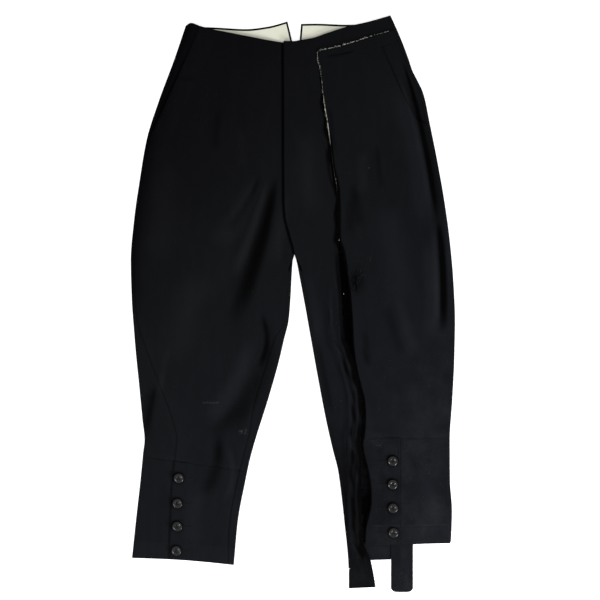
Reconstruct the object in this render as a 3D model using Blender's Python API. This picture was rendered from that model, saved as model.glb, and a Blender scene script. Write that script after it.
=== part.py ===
"""Black wool cropped trousers with buttoned cuffs and a slashed left front, lying flat on the plane z = 0.

+Y runs to the waist and +X to the wearer's left leg. Every size below is in millimetres.
The back panels lie on the ground and wrap both folds of each leg. The front panels lie on top of them.
"""

import math

import bmesh
import bpy
import numpy as np

MM = 0.001

# Cloth and layers
CLOTH = 1.5
FACING_CLOTH = 1.0
CANVAS_CLOTH = 0.8
CANVAS_SEAT = 0.7
SEAM_GAP = 0.3
LAYER_HEIGHT = 5.6
LEAST_HEIGHT = 4.4
LEAST_FRONT_TOP = 3.4
LAP_RISE = 1.15
WAIST_RISE = 1.4
WAIST_RISE_FROM = 350.0
WAIST_RISE_TO = 400.0

# Landmarks: heights of the crotch and the notch, and the centre back's x at each
CROTCH = 81.0
BACK_NOTCH = 396.0
CENTRE_BACK = (2.5, 7.6)
TOP_ZONE_FROM = 394.0
FLY_UNDERLAP = 10.0
SLASH_UNDERLAP = 8.0
POCKET_UNDERLAP = 15.0
CUFF_UNDERLAP = 16.0
LEFT_CUFF_SEAM = -221.0
RIGHT_CUFF_SEAM = -286.3
RIGHT_CUFF_SEAM_SLOPE = -0.14
LEFT_PLACKET = 176.7

# Buttons, four on each cuff
BUTTON_RADIUS = 8.0
BUTTON_THICK = 3.2
BUTTON_RIM = 1.9
BUTTON_DISH = 1.1
BUTTON_HOLE_RADIUS = 1.0
BUTTON_HOLE_SPREAD = 1.9

# Strap tab under the left cuff
TAB_CENTRE = 180.0
TAB_WIDTH = 36.3
TAB_TOP = -372.0
TAB_BOTTOM = -475.4
TAB_CLOTH = 1.3
TAB_CORNER = 6.0
TAB_BULGE = 1.4

# Where the torn strip leaves the leg below the hem and drops to the ground
BELOW_HEM = -438.0

WOOL = ("black_wool", (0.011, 0.011, 0.013), 0.85)
COTTON = ("cream_cotton", (0.74, 0.73, 0.60), 0.9)
CANVAS = ("cream_canvas", (0.70, 0.66, 0.55), 0.9)
HORN = ("dark_horn", (0.022, 0.020, 0.020), 0.25)

# Wearer's right leg: station y, outer fold x, side seam's distance in from that fold
RIGHT_OUTER = [
    (462, -175.8, 5.5),
    (402, -196.2, 5.5),
    (336, -220.8, 5.5),
    (270, -241.5, 5.5),
    (204, -252.8, 5.5),
    (138, -262.1, 5.5),
    (72, -267.5, 5.5),
    (7, -265.8, 5.5),
    (-26, -263.6, 6.5),
    (-80, -259.2, 19),
    (-135, -253.6, 34),
    (-191, -248.2, 49.5),
    (-224, -244.8, 53),
    (-244, -247.0, 53),
    (-290, -251.5, 53),
    (-356, -258.9, 57),
    (-432, -266.9, 63),
]

# Wearer's right leg: station y, inner fold x, inseam's distance in from that fold
RIGHT_INNER = [
    (81, 2.35, 5.5),
    (72, -0.2, 5.5),
    (7, -4.1, 5.5),
    (-26, -6.9, 6.5),
    (-59, -14.7, 16.5),
    (-92, -22.4, 19),
    (-158, -41.1, 21),
    (-224, -61.9, 13),
    (-257, -71.0, 13),
    (-290, -78.0, 14),
    (-356, -90.4, 14),
    (-432, -97.6, 10),
]

# Wearer's left leg: station y, outer fold x, side seam's distance in from that fold
LEFT_OUTER = [
    (477, 160.6, 5.5),
    (436, 178.7, 5.5),
    (403, 191.1, 5.5),
    (386, 196.7, 5.5),
    (370, 204.6, 5.5),
    (353, 213.0, 5.5),
    (337, 218.0, 5.5),
    (304, 224.6, 5.5),
    (238, 237.9, 5.5),
    (172, 249.6, 5.5),
    (106, 258.7, 5.5),
    (40, 264.7, 5.5),
    (-26, 267.5, 5.5),
    (-92, 266.3, 5.5),
    (-158, 263.0, 5.5),
    (-224, 258.9, 5.5),
    (-290, 259.2, 5.5),
    (-340, 262.5, 5.5),
    (-389, 260.9, 5.5),
    (-398, 259.0, 5.5),
]

# Wearer's left leg: station y, inner fold x, inseam's distance in from that fold
LEFT_INNER = [
    (81, 2.65, 5.5),
    (73, 5.3, 5.5),
    (40, 11.9, 5.5),
    (7, 18.2, 5.5),
    (-59, 30.0, 5.5),
    (-125, 41.9, 5.5),
    (-191, 54.6, 5.5),
    (-241, 66.0, 5.5),
    (-274, 74.3, 5.5),
    (-307, 79.0, 5.5),
    (-356, 84.5, 5.5),
    (-437, 91.8, 5.5),
    (-470, 92.2, 5.5),
]

# How the back's inner edge curls up into the inner fold: distance below the crotch, turn in degrees,
# length of the bend and straight run after it
CROTCH_CURL = [
    (-46, 0, 3.0, 1.0),
    (-24, 45, 2.5, 0.7),
    (0, 90, 2.9, 0.4),
    (12, 120, 4.0, 1.0),
    (30, 180, math.pi * LAYER_HEIGHT / 2, 2.5),
]

# Fly edge of the left front: station y, x
FLY_EDGE = [(436, -15.6), (172, -14.7), (145, -13.0), (112, -5.0), (92, 0.6), (81, 2.65)]

# Top edges: x, y
FRONT_RIGHT_TOP = [
    (-177, 458.8),
    (-168, 463.6),
    (-152, 458.8),
    (-121, 452),
    (-74, 442),
    (-24, 432.3),
    (0, 429),
]
FRONT_LEFT_TOP = [
    (-17, 434),
    (1, 433.6),
    (11, 435.2),
    (33, 439),
    (56, 446.8),
    (92, 458.2),
    (124, 465.5),
    (161, 476),
]
BACK_RIGHT_TOP = [(-177, 458.4), (-160, 454.4), (-130, 453.6), (-77, 452.8), (-41, 457.5), (-9, 466)]
BACK_LEFT_TOP = [(13, 462), (38, 462.4), (88, 460.7), (130, 463), (161, 475.4)]

# Fishtail notch at the centre back, where its right and left sides reach the top: y, x
NOTCH_RIGHT_TOP = (466.0, -8.9)
NOTCH_LEFT_TOP = (460.0, 13.2)

# Slash across and down the left front: its level part as x, y, and its raw edge down the leg as y, x
SLASH_ACROSS = [(38, 417.2), (55, 420), (77, 425), (100, 431.8), (132, 441.9), (162, 450.3), (176, 453)]
SLASH_EDGE = [
    (425, 40.2),
    (403, 41.3),
    (392, 44.6),
    (371, 47.6),
    (337, 51.5),
    (292, 58.9),
    (223, 67.2),
    (187, 73.0),
    (158, 74.4),
    (108, 76.2),
    (89, 82.2),
    (63, 87.4),
    (17, 94.8),
    (-35, 98.7),
    (-61, 99.8),
    (-78, 101.4),
    (-109, 106.2),
    (-135, 112.4),
    (-160, 118.6),
    (-186, 120.0),
    (-214, 118.5),
    (-231, 115.2),
    (-250, 118.0),
    (-274, 124.2),
    (-307, 129.0),
    (-327, 129.2),
    (-350, 125.2),
    (-370, 120.3),
    (-398, 118.6),
]

# Torn edge of the inner part of the left front: station y, x
TORN_EDGE = [
    (425, 48.2),
    (403, 49.3),
    (392, 52.6),
    (371, 55.6),
    (337, 59.5),
    (292, 66.9),
    (223, 75.2),
    (187, 81.0),
    (158, 82.4),
    (122, 82.6),
    (100, 75.6),
    (89, 74.4),
    (63, 75.6),
    (17, 79.9),
    (-35, 82.2),
    (-61, 85.5),
    (-78, 93.6),
    (-109, 102.6),
    (-135, 109.0),
    (-160, 112.9),
    (-186, 114.0),
    (-219, 110.7),
    (-250, 113.3),
    (-310, 112.4),
    (-370, 113.4),
    (-389, 115.2),
    (-400, 118.4),
    (-422, 128.0),
    (-470, 137.0),
]

# Pocket openings: station y, x of the front panel's slanted edge
POCKET_RIGHT = [(470, -149.5), (453, -155.3), (381.5, -187.0), (326, -212.7), (281, -233.0)]
POCKET_LEFT = [(425, 145.0), (381.5, 164.8), (334, 186.6), (308, 202.0)]
POCKET_LEFT_ENDS = (294.0, 435.0)

# Hems: x, y
RIGHT_HEM = [(-268, -418.8), (-196, -421.6), (-144, -425.7), (-96, -430.7)]
LEFT_HEM = [(110, -397.4), (262, -394.6)]
LEFT_BACK_HEM = [(88, -437), (100, -434), (122, -423), (161, -421.5), (193, -397), (262, -394.6)]
STRIP_HEM = [(90, -469.4), (140, -467.2)]

# Soft folds in the fronts: first point x y, middle point x y, last point x y,
# half width at the first and at the last point, height (a trough is below zero)
FOLDS = [
    (-28, 218, -56, 112, -90, -4, 12, 30, -1.2),
    (-62, 214, -92, 150, -128, 92, 18, 30, 1.5),
    (-12, 190, -22, 120, -34, 60, 12, 18, 1.2),
    (-34, -24, -56, -134, -122, -214, 14, 24, -1.1),
    (-66, -40, -98, -130, -150, -196, 18, 26, 1.7),
    (-120, -206, -128, -262, -152, -320, 12, 16, -0.9),
    (-232, -130, -240, -180, -243, -232, 12, 14, -0.8),
    (-150, 60, -180, -20, -196, -110, 40, 44, 1.0),
    (-206, 250, -214, 160, -220, 60, 34, 40, 0.9),
    (179, 396, 222, 254, 241, 110, 10, 14, -1.2),
    (241, 120, 247, 20, 243, -50, 12, 14, -1.2),
    (160, 380, 200, 250, 218, 110, 22, 26, 1.5),
    (222, 120, 230, 20, 226, -60, 20, 20, 1.7),
    (115, 262, 114, 220, 118, 176, 12, 16, 1.1),
    (102, 206, 96, 160, 92, 108, 12, 14, -0.8),
    (150, 4, 166, -44, 180, -90, 12, 14, -1.1),
    (168, 22, 184, -30, 200, -92, 14, 18, 1.3),
    (116, -40, 121, -70, 124, -104, 9, 10, -0.8),
    (150, 180, 168, 80, 176, -10, 36, 40, 1.0),
    (200, -120, 206, -170, 204, -214, 30, 30, 0.9),
    (20, 300, 24, 220, 34, 140, 24, 26, 1.0),
    (210, -262, 226, -320, 240, -372, 22, 24, 0.9),
    (-150, -300, -166, -350, -160, -404, 22, 24, 0.9),
]

# Long crumples beside the torn edge: distance in from the edge, half width, height
TORN_CRUMPLES = [(5, 5, 1.2), (12, 4, -0.9), (19, 6, 1.3), (28, 6, -0.8)]


class Line:
    """A smooth line through the rows of a table, with no overshoot between them."""

    def __init__(self, rows, column=1):
        rows = sorted(rows)
        self.at = np.array([row[0] for row in rows], dtype=float)
        self.value = np.array([row[column] for row in rows], dtype=float)
        step = np.diff(self.at)
        rise = np.diff(self.value) / step
        self.slope = np.empty_like(self.value)
        self.slope[0] = rise[0]
        self.slope[-1] = rise[-1]
        for k in range(1, len(rise)):
            before = rise[k - 1]
            after = rise[k]
            self.slope[k] = 0.0 if before * after <= 0 else 2 * before * after / (before + after)

    def __call__(self, at):
        at = np.asarray(at, dtype=float)
        k = np.clip(np.searchsorted(self.at, at) - 1, 0, len(self.at) - 2)
        step = self.at[k + 1] - self.at[k]
        t = np.clip((at - self.at[k]) / step, 0, 1)
        first = (1 + 2 * t) * (1 - t) ** 2 * self.value[k] + t * (1 - t) ** 2 * step * self.slope[k]
        second = t * t * (3 - 2 * t) * self.value[k + 1] + t * t * (t - 1) * step * self.slope[k + 1]
        return first + second


right_outer = Line(RIGHT_OUTER)
right_side_seam = Line(RIGHT_OUTER, 2)
right_inner = Line(RIGHT_INNER)
right_inseam = Line(RIGHT_INNER, 2)
left_outer = Line(LEFT_OUTER)
left_side_seam = Line(LEFT_OUTER, 2)
left_inner = Line(LEFT_INNER)
left_inseam = Line(LEFT_INNER, 2)
fly_edge = Line(FLY_EDGE)
front_right_top = Line(FRONT_RIGHT_TOP)
front_left_top = Line(FRONT_LEFT_TOP)
back_right_top = Line(BACK_RIGHT_TOP)
back_left_top = Line(BACK_LEFT_TOP)
slash_across = Line(SLASH_ACROSS)
slash_edge = Line(SLASH_EDGE)
torn_edge = Line(TORN_EDGE)
pocket_right = Line(POCKET_RIGHT)
pocket_left = Line(POCKET_LEFT)
right_hem = Line(RIGHT_HEM)
left_hem = Line(LEFT_HEM)
left_back_hem = Line(LEFT_BACK_HEM)
strip_hem = Line(STRIP_HEM)
curl_turn = Line(CROTCH_CURL, 1)
curl_length = Line(CROTCH_CURL, 2)
curl_run = Line(CROTCH_CURL, 3)


def ease(value, start, end):
    """0 before start and 1 after end, with a soft step between them."""
    t = np.clip((np.asarray(value, dtype=float) - start) / (end - start), 0, 1)
    return t * t * (3 - 2 * t)


def right_cuff_seam(x):
    return RIGHT_CUFF_SEAM + RIGHT_CUFF_SEAM_SLOPE * x


def left_cuff_seam(x):
    return LEFT_CUFF_SEAM + 0 * x


# The height of the cloth

def fold_height(x, y, fold):
    """Height that one soft fold adds at x, y."""
    x0, y0, x1, y1, x2, y2, first_width, last_width, height = fold
    t = np.linspace(0, 1, 9)
    bend_x = 2 * x1 - 0.5 * (x0 + x2)
    bend_y = 2 * y1 - 0.5 * (y0 + y2)
    path_x = (1 - t) ** 2 * x0 + 2 * t * (1 - t) * bend_x + t * t * x2
    path_y = (1 - t) ** 2 * y0 + 2 * t * (1 - t) * bend_y + t * t * y2
    nearest = np.full(np.shape(x), 1e9)
    along = np.zeros(np.shape(x))
    for k in range(8):
        run_x = path_x[k + 1] - path_x[k]
        run_y = path_y[k + 1] - path_y[k]
        part = ((x - path_x[k]) * run_x + (y - path_y[k]) * run_y) / (run_x ** 2 + run_y ** 2)
        part = np.clip(part, 0, 1)
        distance = np.hypot(x - path_x[k] - part * run_x, y - path_y[k] - part * run_y)
        closer = distance < nearest
        nearest = np.where(closer, distance, nearest)
        along = np.where(closer, (k + part) / 8, along)
    width = first_width + (last_width - first_width) * along
    fade = ease(along, 0, 0.25) * ease(1 - along, 0, 0.25)
    return height * fade * (0.5 + 0.5 * np.cos(np.pi * np.clip(nearest / width, 0, 1)))


def torn_crumples(x, y):
    """Height of the long crumples beside the torn edge of the left front's inner part."""
    distance = torn_edge(y) - x
    height = 0
    for place, width, rise in TORN_CRUMPLES:
        sway = 1.5 * np.sin(y / 31 + place)
        nearness = np.clip(np.abs(distance - place - sway) / width, 0, 1)
        height = height + rise * (0.5 + 0.5 * np.cos(np.pi * nearness))
    inside = ease(distance, -3, 0) * (distance < 40)
    return height * inside * ease(-y, -40, 20) * ease(y, -440, -400)


def waist_rise(y):
    """How much higher the fronts lie over the facings."""
    return WAIST_RISE * ease(y, WAIST_RISE_FROM, WAIST_RISE_TO)


def front_height(x, y):
    """Height of the outside of the upper layer above the ground."""
    height = LAYER_HEIGHT + 0.25 * np.sin(x / 43 + y / 97) + 0.2 * np.sin(x / 71 - y / 59 + 1)
    for fold in FOLDS:
        height = height + fold_height(x, y, fold)
    height = height + torn_crumples(x, y)
    over_tab = ease(x, 136, 160) * ease(-x, -224, -200) * ease(-y, 320, 366)
    height = height + TAB_BULGE * over_tab
    return np.maximum(height, LEAST_HEIGHT) + waist_rise(y)


# How pieces lap: each returns 1 where a piece lies over its neighbour and 0 away from it

def near_fly(x, y):
    return ease(30 - np.abs(x - fly_edge(y)), 0, 18) * ease(y, 60, 88)


def near_slash(x, y):
    down = ease(32 - np.abs(x - slash_edge(y)), 0, 20) * ease(y, 60, 96) * ease(-y, -430, -410)
    across = ease(32 - np.abs(y - slash_across(x)), 0, 20) * ease(x, 20, 36)
    return np.maximum(down, across)


def near_pocket_right(x, y):
    return ease(36 - np.abs(x - pocket_right(y)), 0, 18) * ease(y, 236, 256)


def near_pocket_left(x, y):
    return ease(x - pocket_left(y), -50, -30) * ease(y, 250, 272)


def near_right_placket(x, y):
    return ease(36 - np.abs(x - right_placket(y)), 0, 16)


def near_left_placket(x, y):
    return ease(36 - np.abs(x - LEFT_PLACKET), 0, 16)


def right_placket(y):
    return right_outer(y) + right_side_seam(y)


def top_of(x, y, lap):
    """Height of a front piece's outside, never so low that it meets the back and its facing."""
    return np.maximum(front_height(x, y) + LAP_RISE * lap, LEAST_FRONT_TOP + waist_rise(y))


def front_right_height(x, y):
    return top_of(x, y, near_pocket_right(x, y) - near_fly(x, y))


def front_left_inner_height(x, y):
    lying = top_of(x, y, near_fly(x, y) - near_slash(x, y))
    return lying + (CLOTH - lying) * ease(-y, -BELOW_HEM, 462)


def front_left_outer_height(x, y):
    return top_of(x, y, np.maximum(near_slash(x, y), near_pocket_left(x, y)))


def pocket_side_height(x, y):
    return top_of(x, y, -1.0)


def cuff_right_front_height(x, y):
    return top_of(x, y, near_right_placket(x, y))


def cuff_left_front_height(x, y):
    return top_of(x, y, near_left_placket(x, y))


def no_lap(x, y):
    return 0 * x


def right_cuff_lap(x, y):
    return -near_right_placket(x, y) * ease(x, -240, -226)


def left_cuff_lap(x, y):
    return -near_left_placket(x, y)


# Making solids

def material_of(look):
    name, colour, roughness = look
    material = bpy.data.materials.new(name)
    material.use_nodes = True
    shader = material.node_tree.nodes["Principled BSDF"]
    shader.inputs["Base Color"].default_value = (*colour, 1.0)
    shader.inputs["Roughness"].default_value = roughness
    return material


def add_object(name, mesh, look):
    mesh.materials.append(material_of(look))
    piece = bpy.data.objects.new(name, mesh)
    bpy.context.scene.collection.objects.link(piece)
    return piece


def add_wall(name, look, outside, inside, kept=None):
    """A closed wall between two grids of points, rows by columns by 3, of the cells that are kept."""
    rows, columns = outside.shape[:2]
    if kept is None:
        kept = np.ones((rows - 1, columns - 1), dtype=bool)
    shape = bmesh.new()
    corners = {}

    def corner(side, row, column):
        key = (side, row, column)
        if key not in corners:
            points = outside if side == 0 else inside
            corners[key] = shape.verts.new(points[row, column] * MM)
        return corners[key]

    for row in range(rows - 1):
        for column in range(columns - 1):
            if not kept[row, column]:
                continue
            ring = [(row, column), (row, column + 1), (row + 1, column + 1), (row + 1, column)]
            shape.faces.new([corner(0, *place) for place in ring])
            shape.faces.new([corner(1, *place) for place in reversed(ring)])
            beyond = [(row - 1, column), (row, column + 1), (row + 1, column), (row, column - 1)]
            for side in range(4):
                next_row, next_column = beyond[side]
                within = 0 <= next_row < rows - 1 and 0 <= next_column < columns - 1
                if within and kept[next_row, next_column]:
                    continue
                first = ring[side]
                second = ring[(side + 1) % 4]
                wall = [corner(0, *second), corner(0, *first), corner(1, *first), corner(1, *second)]
                shape.faces.new(wall)
    bmesh.ops.recalc_face_normals(shape, faces=shape.faces)
    mesh = bpy.data.meshes.new(name)
    shape.to_mesh(mesh)
    shape.free()
    mesh.shade_smooth()
    mesh.set_sharp_from_angle(angle=math.radians(40))
    return add_object(name, mesh, look)


def add_sheet(name, look, start, end, rows, columns, top, thick=CLOTH, kept=None):
    """A piece that lies over the ground: start and end give its sides at y, and each row gives y at x."""
    outside = np.empty((len(rows), len(columns), 3))
    for row, line in enumerate(rows):
        for column, part in enumerate(columns):
            y = float(line(0.0))
            for _ in range(4):
                x = float(start(y) + (end(y) - start(y)) * part)
                y = float(line(x))
            outside[row, column] = (x, y, float(top(x, y)))
    inside = outside - np.array([0, 0, thick])
    return add_wall(name, look, outside, inside, kept)


def bend(turn, length, run, distance):
    """Place and slope, at a distance along it, of a wall that turns over a length and then runs straight."""
    turn = max(turn, 1e-4)
    rate = turn / length
    angle = rate * min(distance, length)
    beyond = max(distance - length, 0)
    out = math.sin(angle) / rate + beyond * math.cos(turn)
    up = (1 - math.cos(angle)) / rate + beyond * math.sin(turn)
    return out, up, angle


def bend_reach(turn, length, run):
    """How far out such a wall reaches."""
    if turn >= math.pi / 2:
        return length / turn
    return bend(turn, length, run, length + run)[0]


RUN_STEPS = [1.0, 0.67, 0.33]
CUFF_RUN_STEPS = [1.0, 0.9, 0.8, 0.7, 0.6, 0.5, 0.4, 0.25, 0.1]
BEND_STEPS = [1.0, 0.67, 0.33]
FLAT_STEPS = [0.0, 0.2, 0.4, 0.6, 0.8, 1.0]


def back_point(part, y, outer, inner):
    """Outside point and inward direction on a back panel at station y.

    part names the stretch and the step in it. outer and inner give the fold's x, turn, bend length and run.
    """
    stretch, step = part
    side = outer if stretch.startswith("outer") else inner
    fold_x, turn, length, run = side(y)
    out_from = 1.0 if side is inner else -1.0
    if outer(y)[0] > inner(y)[0]:
        out_from = -out_from
    if stretch == "flat":
        first_x, first_turn, first_length, first_run = outer(y)
        facing = -out_from
        first = first_x - facing * bend_reach(first_turn, first_length, first_run)
        last = fold_x - out_from * bend_reach(turn, length, run)
        return first + (last - first) * step, 0.0, (0.0, 1.0)
    distance = length * step if stretch.endswith("bend") else length + run * step
    out, up, angle = bend(turn, length, run, distance)
    x = fold_x - out_from * (bend_reach(turn, length, run) - out)
    return x, up, (-out_from * math.sin(angle), math.cos(angle))


def add_back(name, look, outer, inner, rows, lap=no_lap, outer_steps=RUN_STEPS, front_rows=None):
    """A back panel, flat on the ground, that curls up round a fold at each side and onto the front.

    front_rows gives the rows of what lies on the front past the outer fold, where they differ.
    """
    parts = [("outer run", step) for step in outer_steps]
    parts += [("outer bend", step) for step in BEND_STEPS]
    parts += [("flat", step) for step in FLAT_STEPS]
    parts += [("inner bend", step) for step in reversed(BEND_STEPS)]
    parts += [("inner run", step) for step in reversed(RUN_STEPS)]
    outside = np.empty((len(rows), len(parts), 3))
    inside = np.empty_like(outside)
    for row in range(len(rows)):
        for column, part in enumerate(parts):
            on_front = front_rows is not None and part[0].startswith("outer")
            line = front_rows[row] if on_front else rows[row]
            y = float(line(0.0))
            for _ in range(4):
                x, z, inward = back_point(part, y, outer, inner)
                y = float(line(x))
            share = float(ease(z / LAYER_HEIGHT, 0.35, 1.0))
            z += share * (float(top_of(x, y, lap(x, y))) - LAYER_HEIGHT)
            outside[row, column] = (x, y, z)
            inside[row, column] = (x + CLOTH * inward[0], y, z + CLOTH * inward[1])
    return add_wall(name, look, outside, inside)


# Rows of the panels

def level(height):
    return lambda x: height + 0 * x


def towards_top(share, top, start=TOP_ZONE_FROM):
    return lambda x: start + (top(x) - start) * share


def between(share, bottom, top):
    return lambda x: bottom(x) + (top(x) - bottom(x)) * share


def shifted(line, distance):
    return lambda x: line(x) + distance


HIP_STATIONS = [28, 51, 69, 81, 93, 110, 135, 162, 190, 220, 250, 280, 308, 337, 353, 370, 394]
RIGHT_LEG_STATIONS = [-212, -184, -156, -128, -100, -74, -48, -22, 4]
LEFT_LEG_STATIONS = [-192, -164, -137, -109, -78, -61, -36, -16, 4]
TOP_SHARES = [0.4, 0.8, 1.0]


def right_rows(top):
    rows = [shifted(right_cuff_seam, SEAM_GAP / 2)]
    rows += [level(height) for height in RIGHT_LEG_STATIONS + HIP_STATIONS]
    rows += [towards_top(share, top) for share in TOP_SHARES]
    return rows


def left_rows(top):
    rows = [shifted(left_cuff_seam, SEAM_GAP / 2)]
    rows += [level(height) for height in LEFT_LEG_STATIONS + HIP_STATIONS]
    rows += [towards_top(share, top) for share in TOP_SHARES]
    return rows


# Sides of the panels

def centre_back(y):
    low, high = CENTRE_BACK
    return low + (high - low) * np.clip((y - CROTCH) / (BACK_NOTCH - CROTCH), 0, 1)


def notch(y, top, gap):
    """The centre back line, which parts from its notch up to the waist."""
    top_y, top_x = top
    opening = top_x - float(centre_back(BACK_NOTCH))
    return centre_back(y) + gap + opening * np.clip((y - BACK_NOTCH) / (top_y - BACK_NOTCH), 0, 1)


def notch_right(y):
    return notch(y, NOTCH_RIGHT_TOP, -SEAM_GAP / 2)


def notch_left(y):
    return notch(y, NOTCH_LEFT_TOP, SEAM_GAP / 2)


def full_curl(fold_x, seam_distance):
    """A back's side that wraps a fold and runs on to a seam on the front."""
    radius = LAYER_HEIGHT / 2
    return fold_x, math.pi, math.pi * radius, seam_distance - radius - SEAM_GAP / 2


def inner_curl(y, fold_x, centre_x, seam_distance):
    """A back's inner side: flat at the centre back, and curled round the inner fold below the crotch."""
    below = CROTCH - y
    if below >= CROTCH_CURL[-1][0]:
        return full_curl(fold_x, seam_distance)
    place = centre_x if below < 0 else fold_x
    return place, math.radians(float(curl_turn(below))), float(curl_length(below)), float(curl_run(below))


def back_right_outer(y):
    return full_curl(float(right_outer(y)), float(right_side_seam(y)))


def back_right_inner(y):
    return inner_curl(y, float(right_inner(y)), float(notch_right(y)), float(right_inseam(y)))


def back_left_outer(y):
    return full_curl(float(left_outer(y)), float(left_side_seam(y)))


def back_left_inner(y):
    return inner_curl(y, float(left_inner(y)), float(notch_left(y)), float(left_inseam(y)))


def cuff_right_outer(y):
    return full_curl(float(right_outer(y)), float(right_side_seam(y)) + CUFF_UNDERLAP)


def cuff_left_outer(y):
    return full_curl(float(left_outer(y)), float(left_outer(y)) - LEFT_PLACKET + CUFF_UNDERLAP)


def crotch_inset(y, seam_distance):
    """How far in from the inner fold a front's edge lies, from none at the crotch to the inseam's place."""
    return seam_distance * ease(CROTCH - y, -1, 24)


def front_right_start(y):
    seam = right_outer(y) + right_side_seam(y) + SEAM_GAP / 2
    return np.maximum(seam, pocket_right(y)) if y > POCKET_RIGHT[-1][0] else seam


def front_right_end(y):
    if y > CROTCH:
        return fly_edge(y) - SEAM_GAP + FLY_UNDERLAP * np.clip((y - 98) / 50, 0, 1)
    return right_inner(y) - crotch_inset(y, right_inseam(y)) - SEAM_GAP / 2


def pocket_side_right_start(y):
    return right_outer(y) + right_side_seam(y) + SEAM_GAP / 2


def pocket_side_right_end(y):
    return np.maximum(pocket_right(y), pocket_side_right_start(y)) + POCKET_UNDERLAP


def front_left_start(y):
    if y > CROTCH:
        return fly_edge(y)
    if y < BELOW_HEM:
        return 97.4 + (92.3 - 97.4) * ease(BELOW_HEM - y, 0, 6)
    return left_inner(y) + crotch_inset(y, left_inseam(y)) + SEAM_GAP / 2


def left_seam(y):
    return left_outer(y) - left_side_seam(y) - SEAM_GAP / 2


def front_left_outer_end(y):
    seam = left_seam(y)
    low, high = POCKET_LEFT_ENDS
    if y <= low or y >= high:
        return seam
    share = min(ease(y, low, POCKET_LEFT[-1][0]), ease(-y, -high, -POCKET_LEFT[0][0]))
    return seam + (pocket_left(y) - seam) * share


def pocket_side_left_start(y):
    return pocket_left(y) - POCKET_UNDERLAP


# Pieces

def add_backs():
    add_back("back_right", WOOL, back_right_outer, back_right_inner, right_rows(back_right_top))
    add_back("back_left", WOOL, back_left_outer, back_left_inner, left_rows(back_left_top))


def add_front_right():
    columns = [0, 0.08, 0.17, 0.26, 0.35, 0.44, 0.53, 0.62, 0.71, 0.8, 0.9, 1]
    rows = right_rows(front_right_top)
    add_sheet("front_right", WOOL, front_right_start, front_right_end, rows, columns, front_right_height)


def add_front_left_inner():
    """The fly side of the left front: a long strip down to below the hem, and a band along the waist."""
    under_slash = shifted(slash_across, -SLASH_UNDERLAP)
    stations = [-458, -445, -438, -422, -406, -389, -370, -347, -322, -298, -274, -250, -231, -212]
    rows = [strip_hem]
    rows += [level(height) for height in stations + LEFT_LEG_STATIONS + HIP_STATIONS[:-1]]
    band_from = len(rows)
    rows += [under_slash]
    rows += [between(share, under_slash, front_left_top) for share in (0.35, 0.7, 1.0)]
    strip = [0, 0.14, 0.3, 0.45, 0.58, 0.68, 0.77, 0.86, 0.93, 1]
    band = [0.12, 0.28, 0.46, 0.64, 0.82, 1]
    strip_columns = len(strip)
    columns = strip + [1 + part for part in band]

    def place(y, part):
        near = front_left_start(y)
        far = torn_edge(y)
        if part <= 1:
            return near + (far - near) * part
        return far + (left_seam(y) - far) * (part - 1)

    outside = np.empty((len(rows), len(columns), 3))
    for row, line in enumerate(rows):
        for column, part in enumerate(columns):
            y = float(line(0.0 if part <= 1 else 100.0))
            for _ in range(5):
                x = float(place(y, part))
                y = float(line(x))
            outside[row, column] = (x, y, float(front_left_inner_height(x, y)))
    inside = outside - np.array([0, 0, CLOTH])
    kept = np.ones((len(rows) - 1, len(columns) - 1), dtype=bool)
    kept[:band_from, strip_columns - 1:] = False
    add_wall("front_left_inner", WOOL, outside, inside, kept)


def add_front_left_outer():
    columns = [0, 0.07, 0.15, 0.24, 0.33, 0.42, 0.51, 0.6, 0.69, 0.78, 0.87, 0.94, 1]
    rows = [shifted(left_cuff_seam, SEAM_GAP / 2)]
    rows += [level(height) for height in LEFT_LEG_STATIONS + HIP_STATIONS[:-1]]
    rows += [towards_top(share, slash_across, HIP_STATIONS[-2]) for share in (0.3, 0.55, 0.68, 0.8, 1.0)]
    end = front_left_outer_end
    add_sheet("front_left_outer", WOOL, slash_edge, end, rows, columns, front_left_outer_height)


def add_pocket_sides():
    columns = [0, 0.25, 0.5, 0.75, 1]
    rows = [level(height) for height in (262, 292, 316, 337, 353, 370, 386, 394)]
    rows += [towards_top(share, front_right_top) for share in TOP_SHARES]
    start = pocket_side_right_start
    add_sheet("pocket_side_right", WOOL, start, pocket_side_right_end, rows, columns, pocket_side_height)
    rows = [level(height) for height in (286, 300, 316, 337, 353, 370, 386, 400)]
    top = shifted(slash_across, -SLASH_UNDERLAP - SEAM_GAP - 0.2)
    rows += [towards_top(share, top, 400) for share in (0.5, 1.0)]
    add_sheet("pocket_side_left", WOOL, pocket_side_left_start, left_seam, rows, columns, pocket_side_height)


def add_facings():
    """Cream facings inside the back waist, a little below its edge and the notch."""
    rim = 1.7
    depth = 50
    columns = [0, 0.2, 0.4, 0.6, 0.8, 1]

    def top(x, y):
        return CLOTH + SEAM_GAP + FACING_CLOTH

    for name, edge, inner, outer in (
        ("facing_right", back_right_top, notch_right, -150.0),
        ("facing_left", back_left_top, notch_left, 136.0),
    ):
        side = 1 if outer > 0 else -1
        rows = [shifted(edge, drop) for drop in (-depth, -depth * 0.6, -depth * 0.25, -rim)]
        add_sheet(
            name, COTTON, lambda y: inner(y) + side * rim, level(outer), rows, columns, top, FACING_CLOTH
        )


def add_right_cuff():
    top = shifted(right_cuff_seam, -SEAM_GAP / 2)
    rows = [between(share, right_hem, top) for share in (0, 0.17, 0.34, 0.5, 0.67, 0.84, 1)]
    columns = [0, 0.1, 0.22, 0.35, 0.5, 0.65, 0.82, 1]

    def end(y):
        return right_inner(y) - right_inseam(y) - SEAM_GAP / 2

    add_sheet("cuff_right_front", WOOL, right_placket, end, rows, columns, cuff_right_front_height)
    sides = (cuff_right_outer, back_right_inner)
    add_back("cuff_right_back", WOOL, *sides, rows, right_cuff_lap, CUFF_RUN_STEPS)


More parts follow.
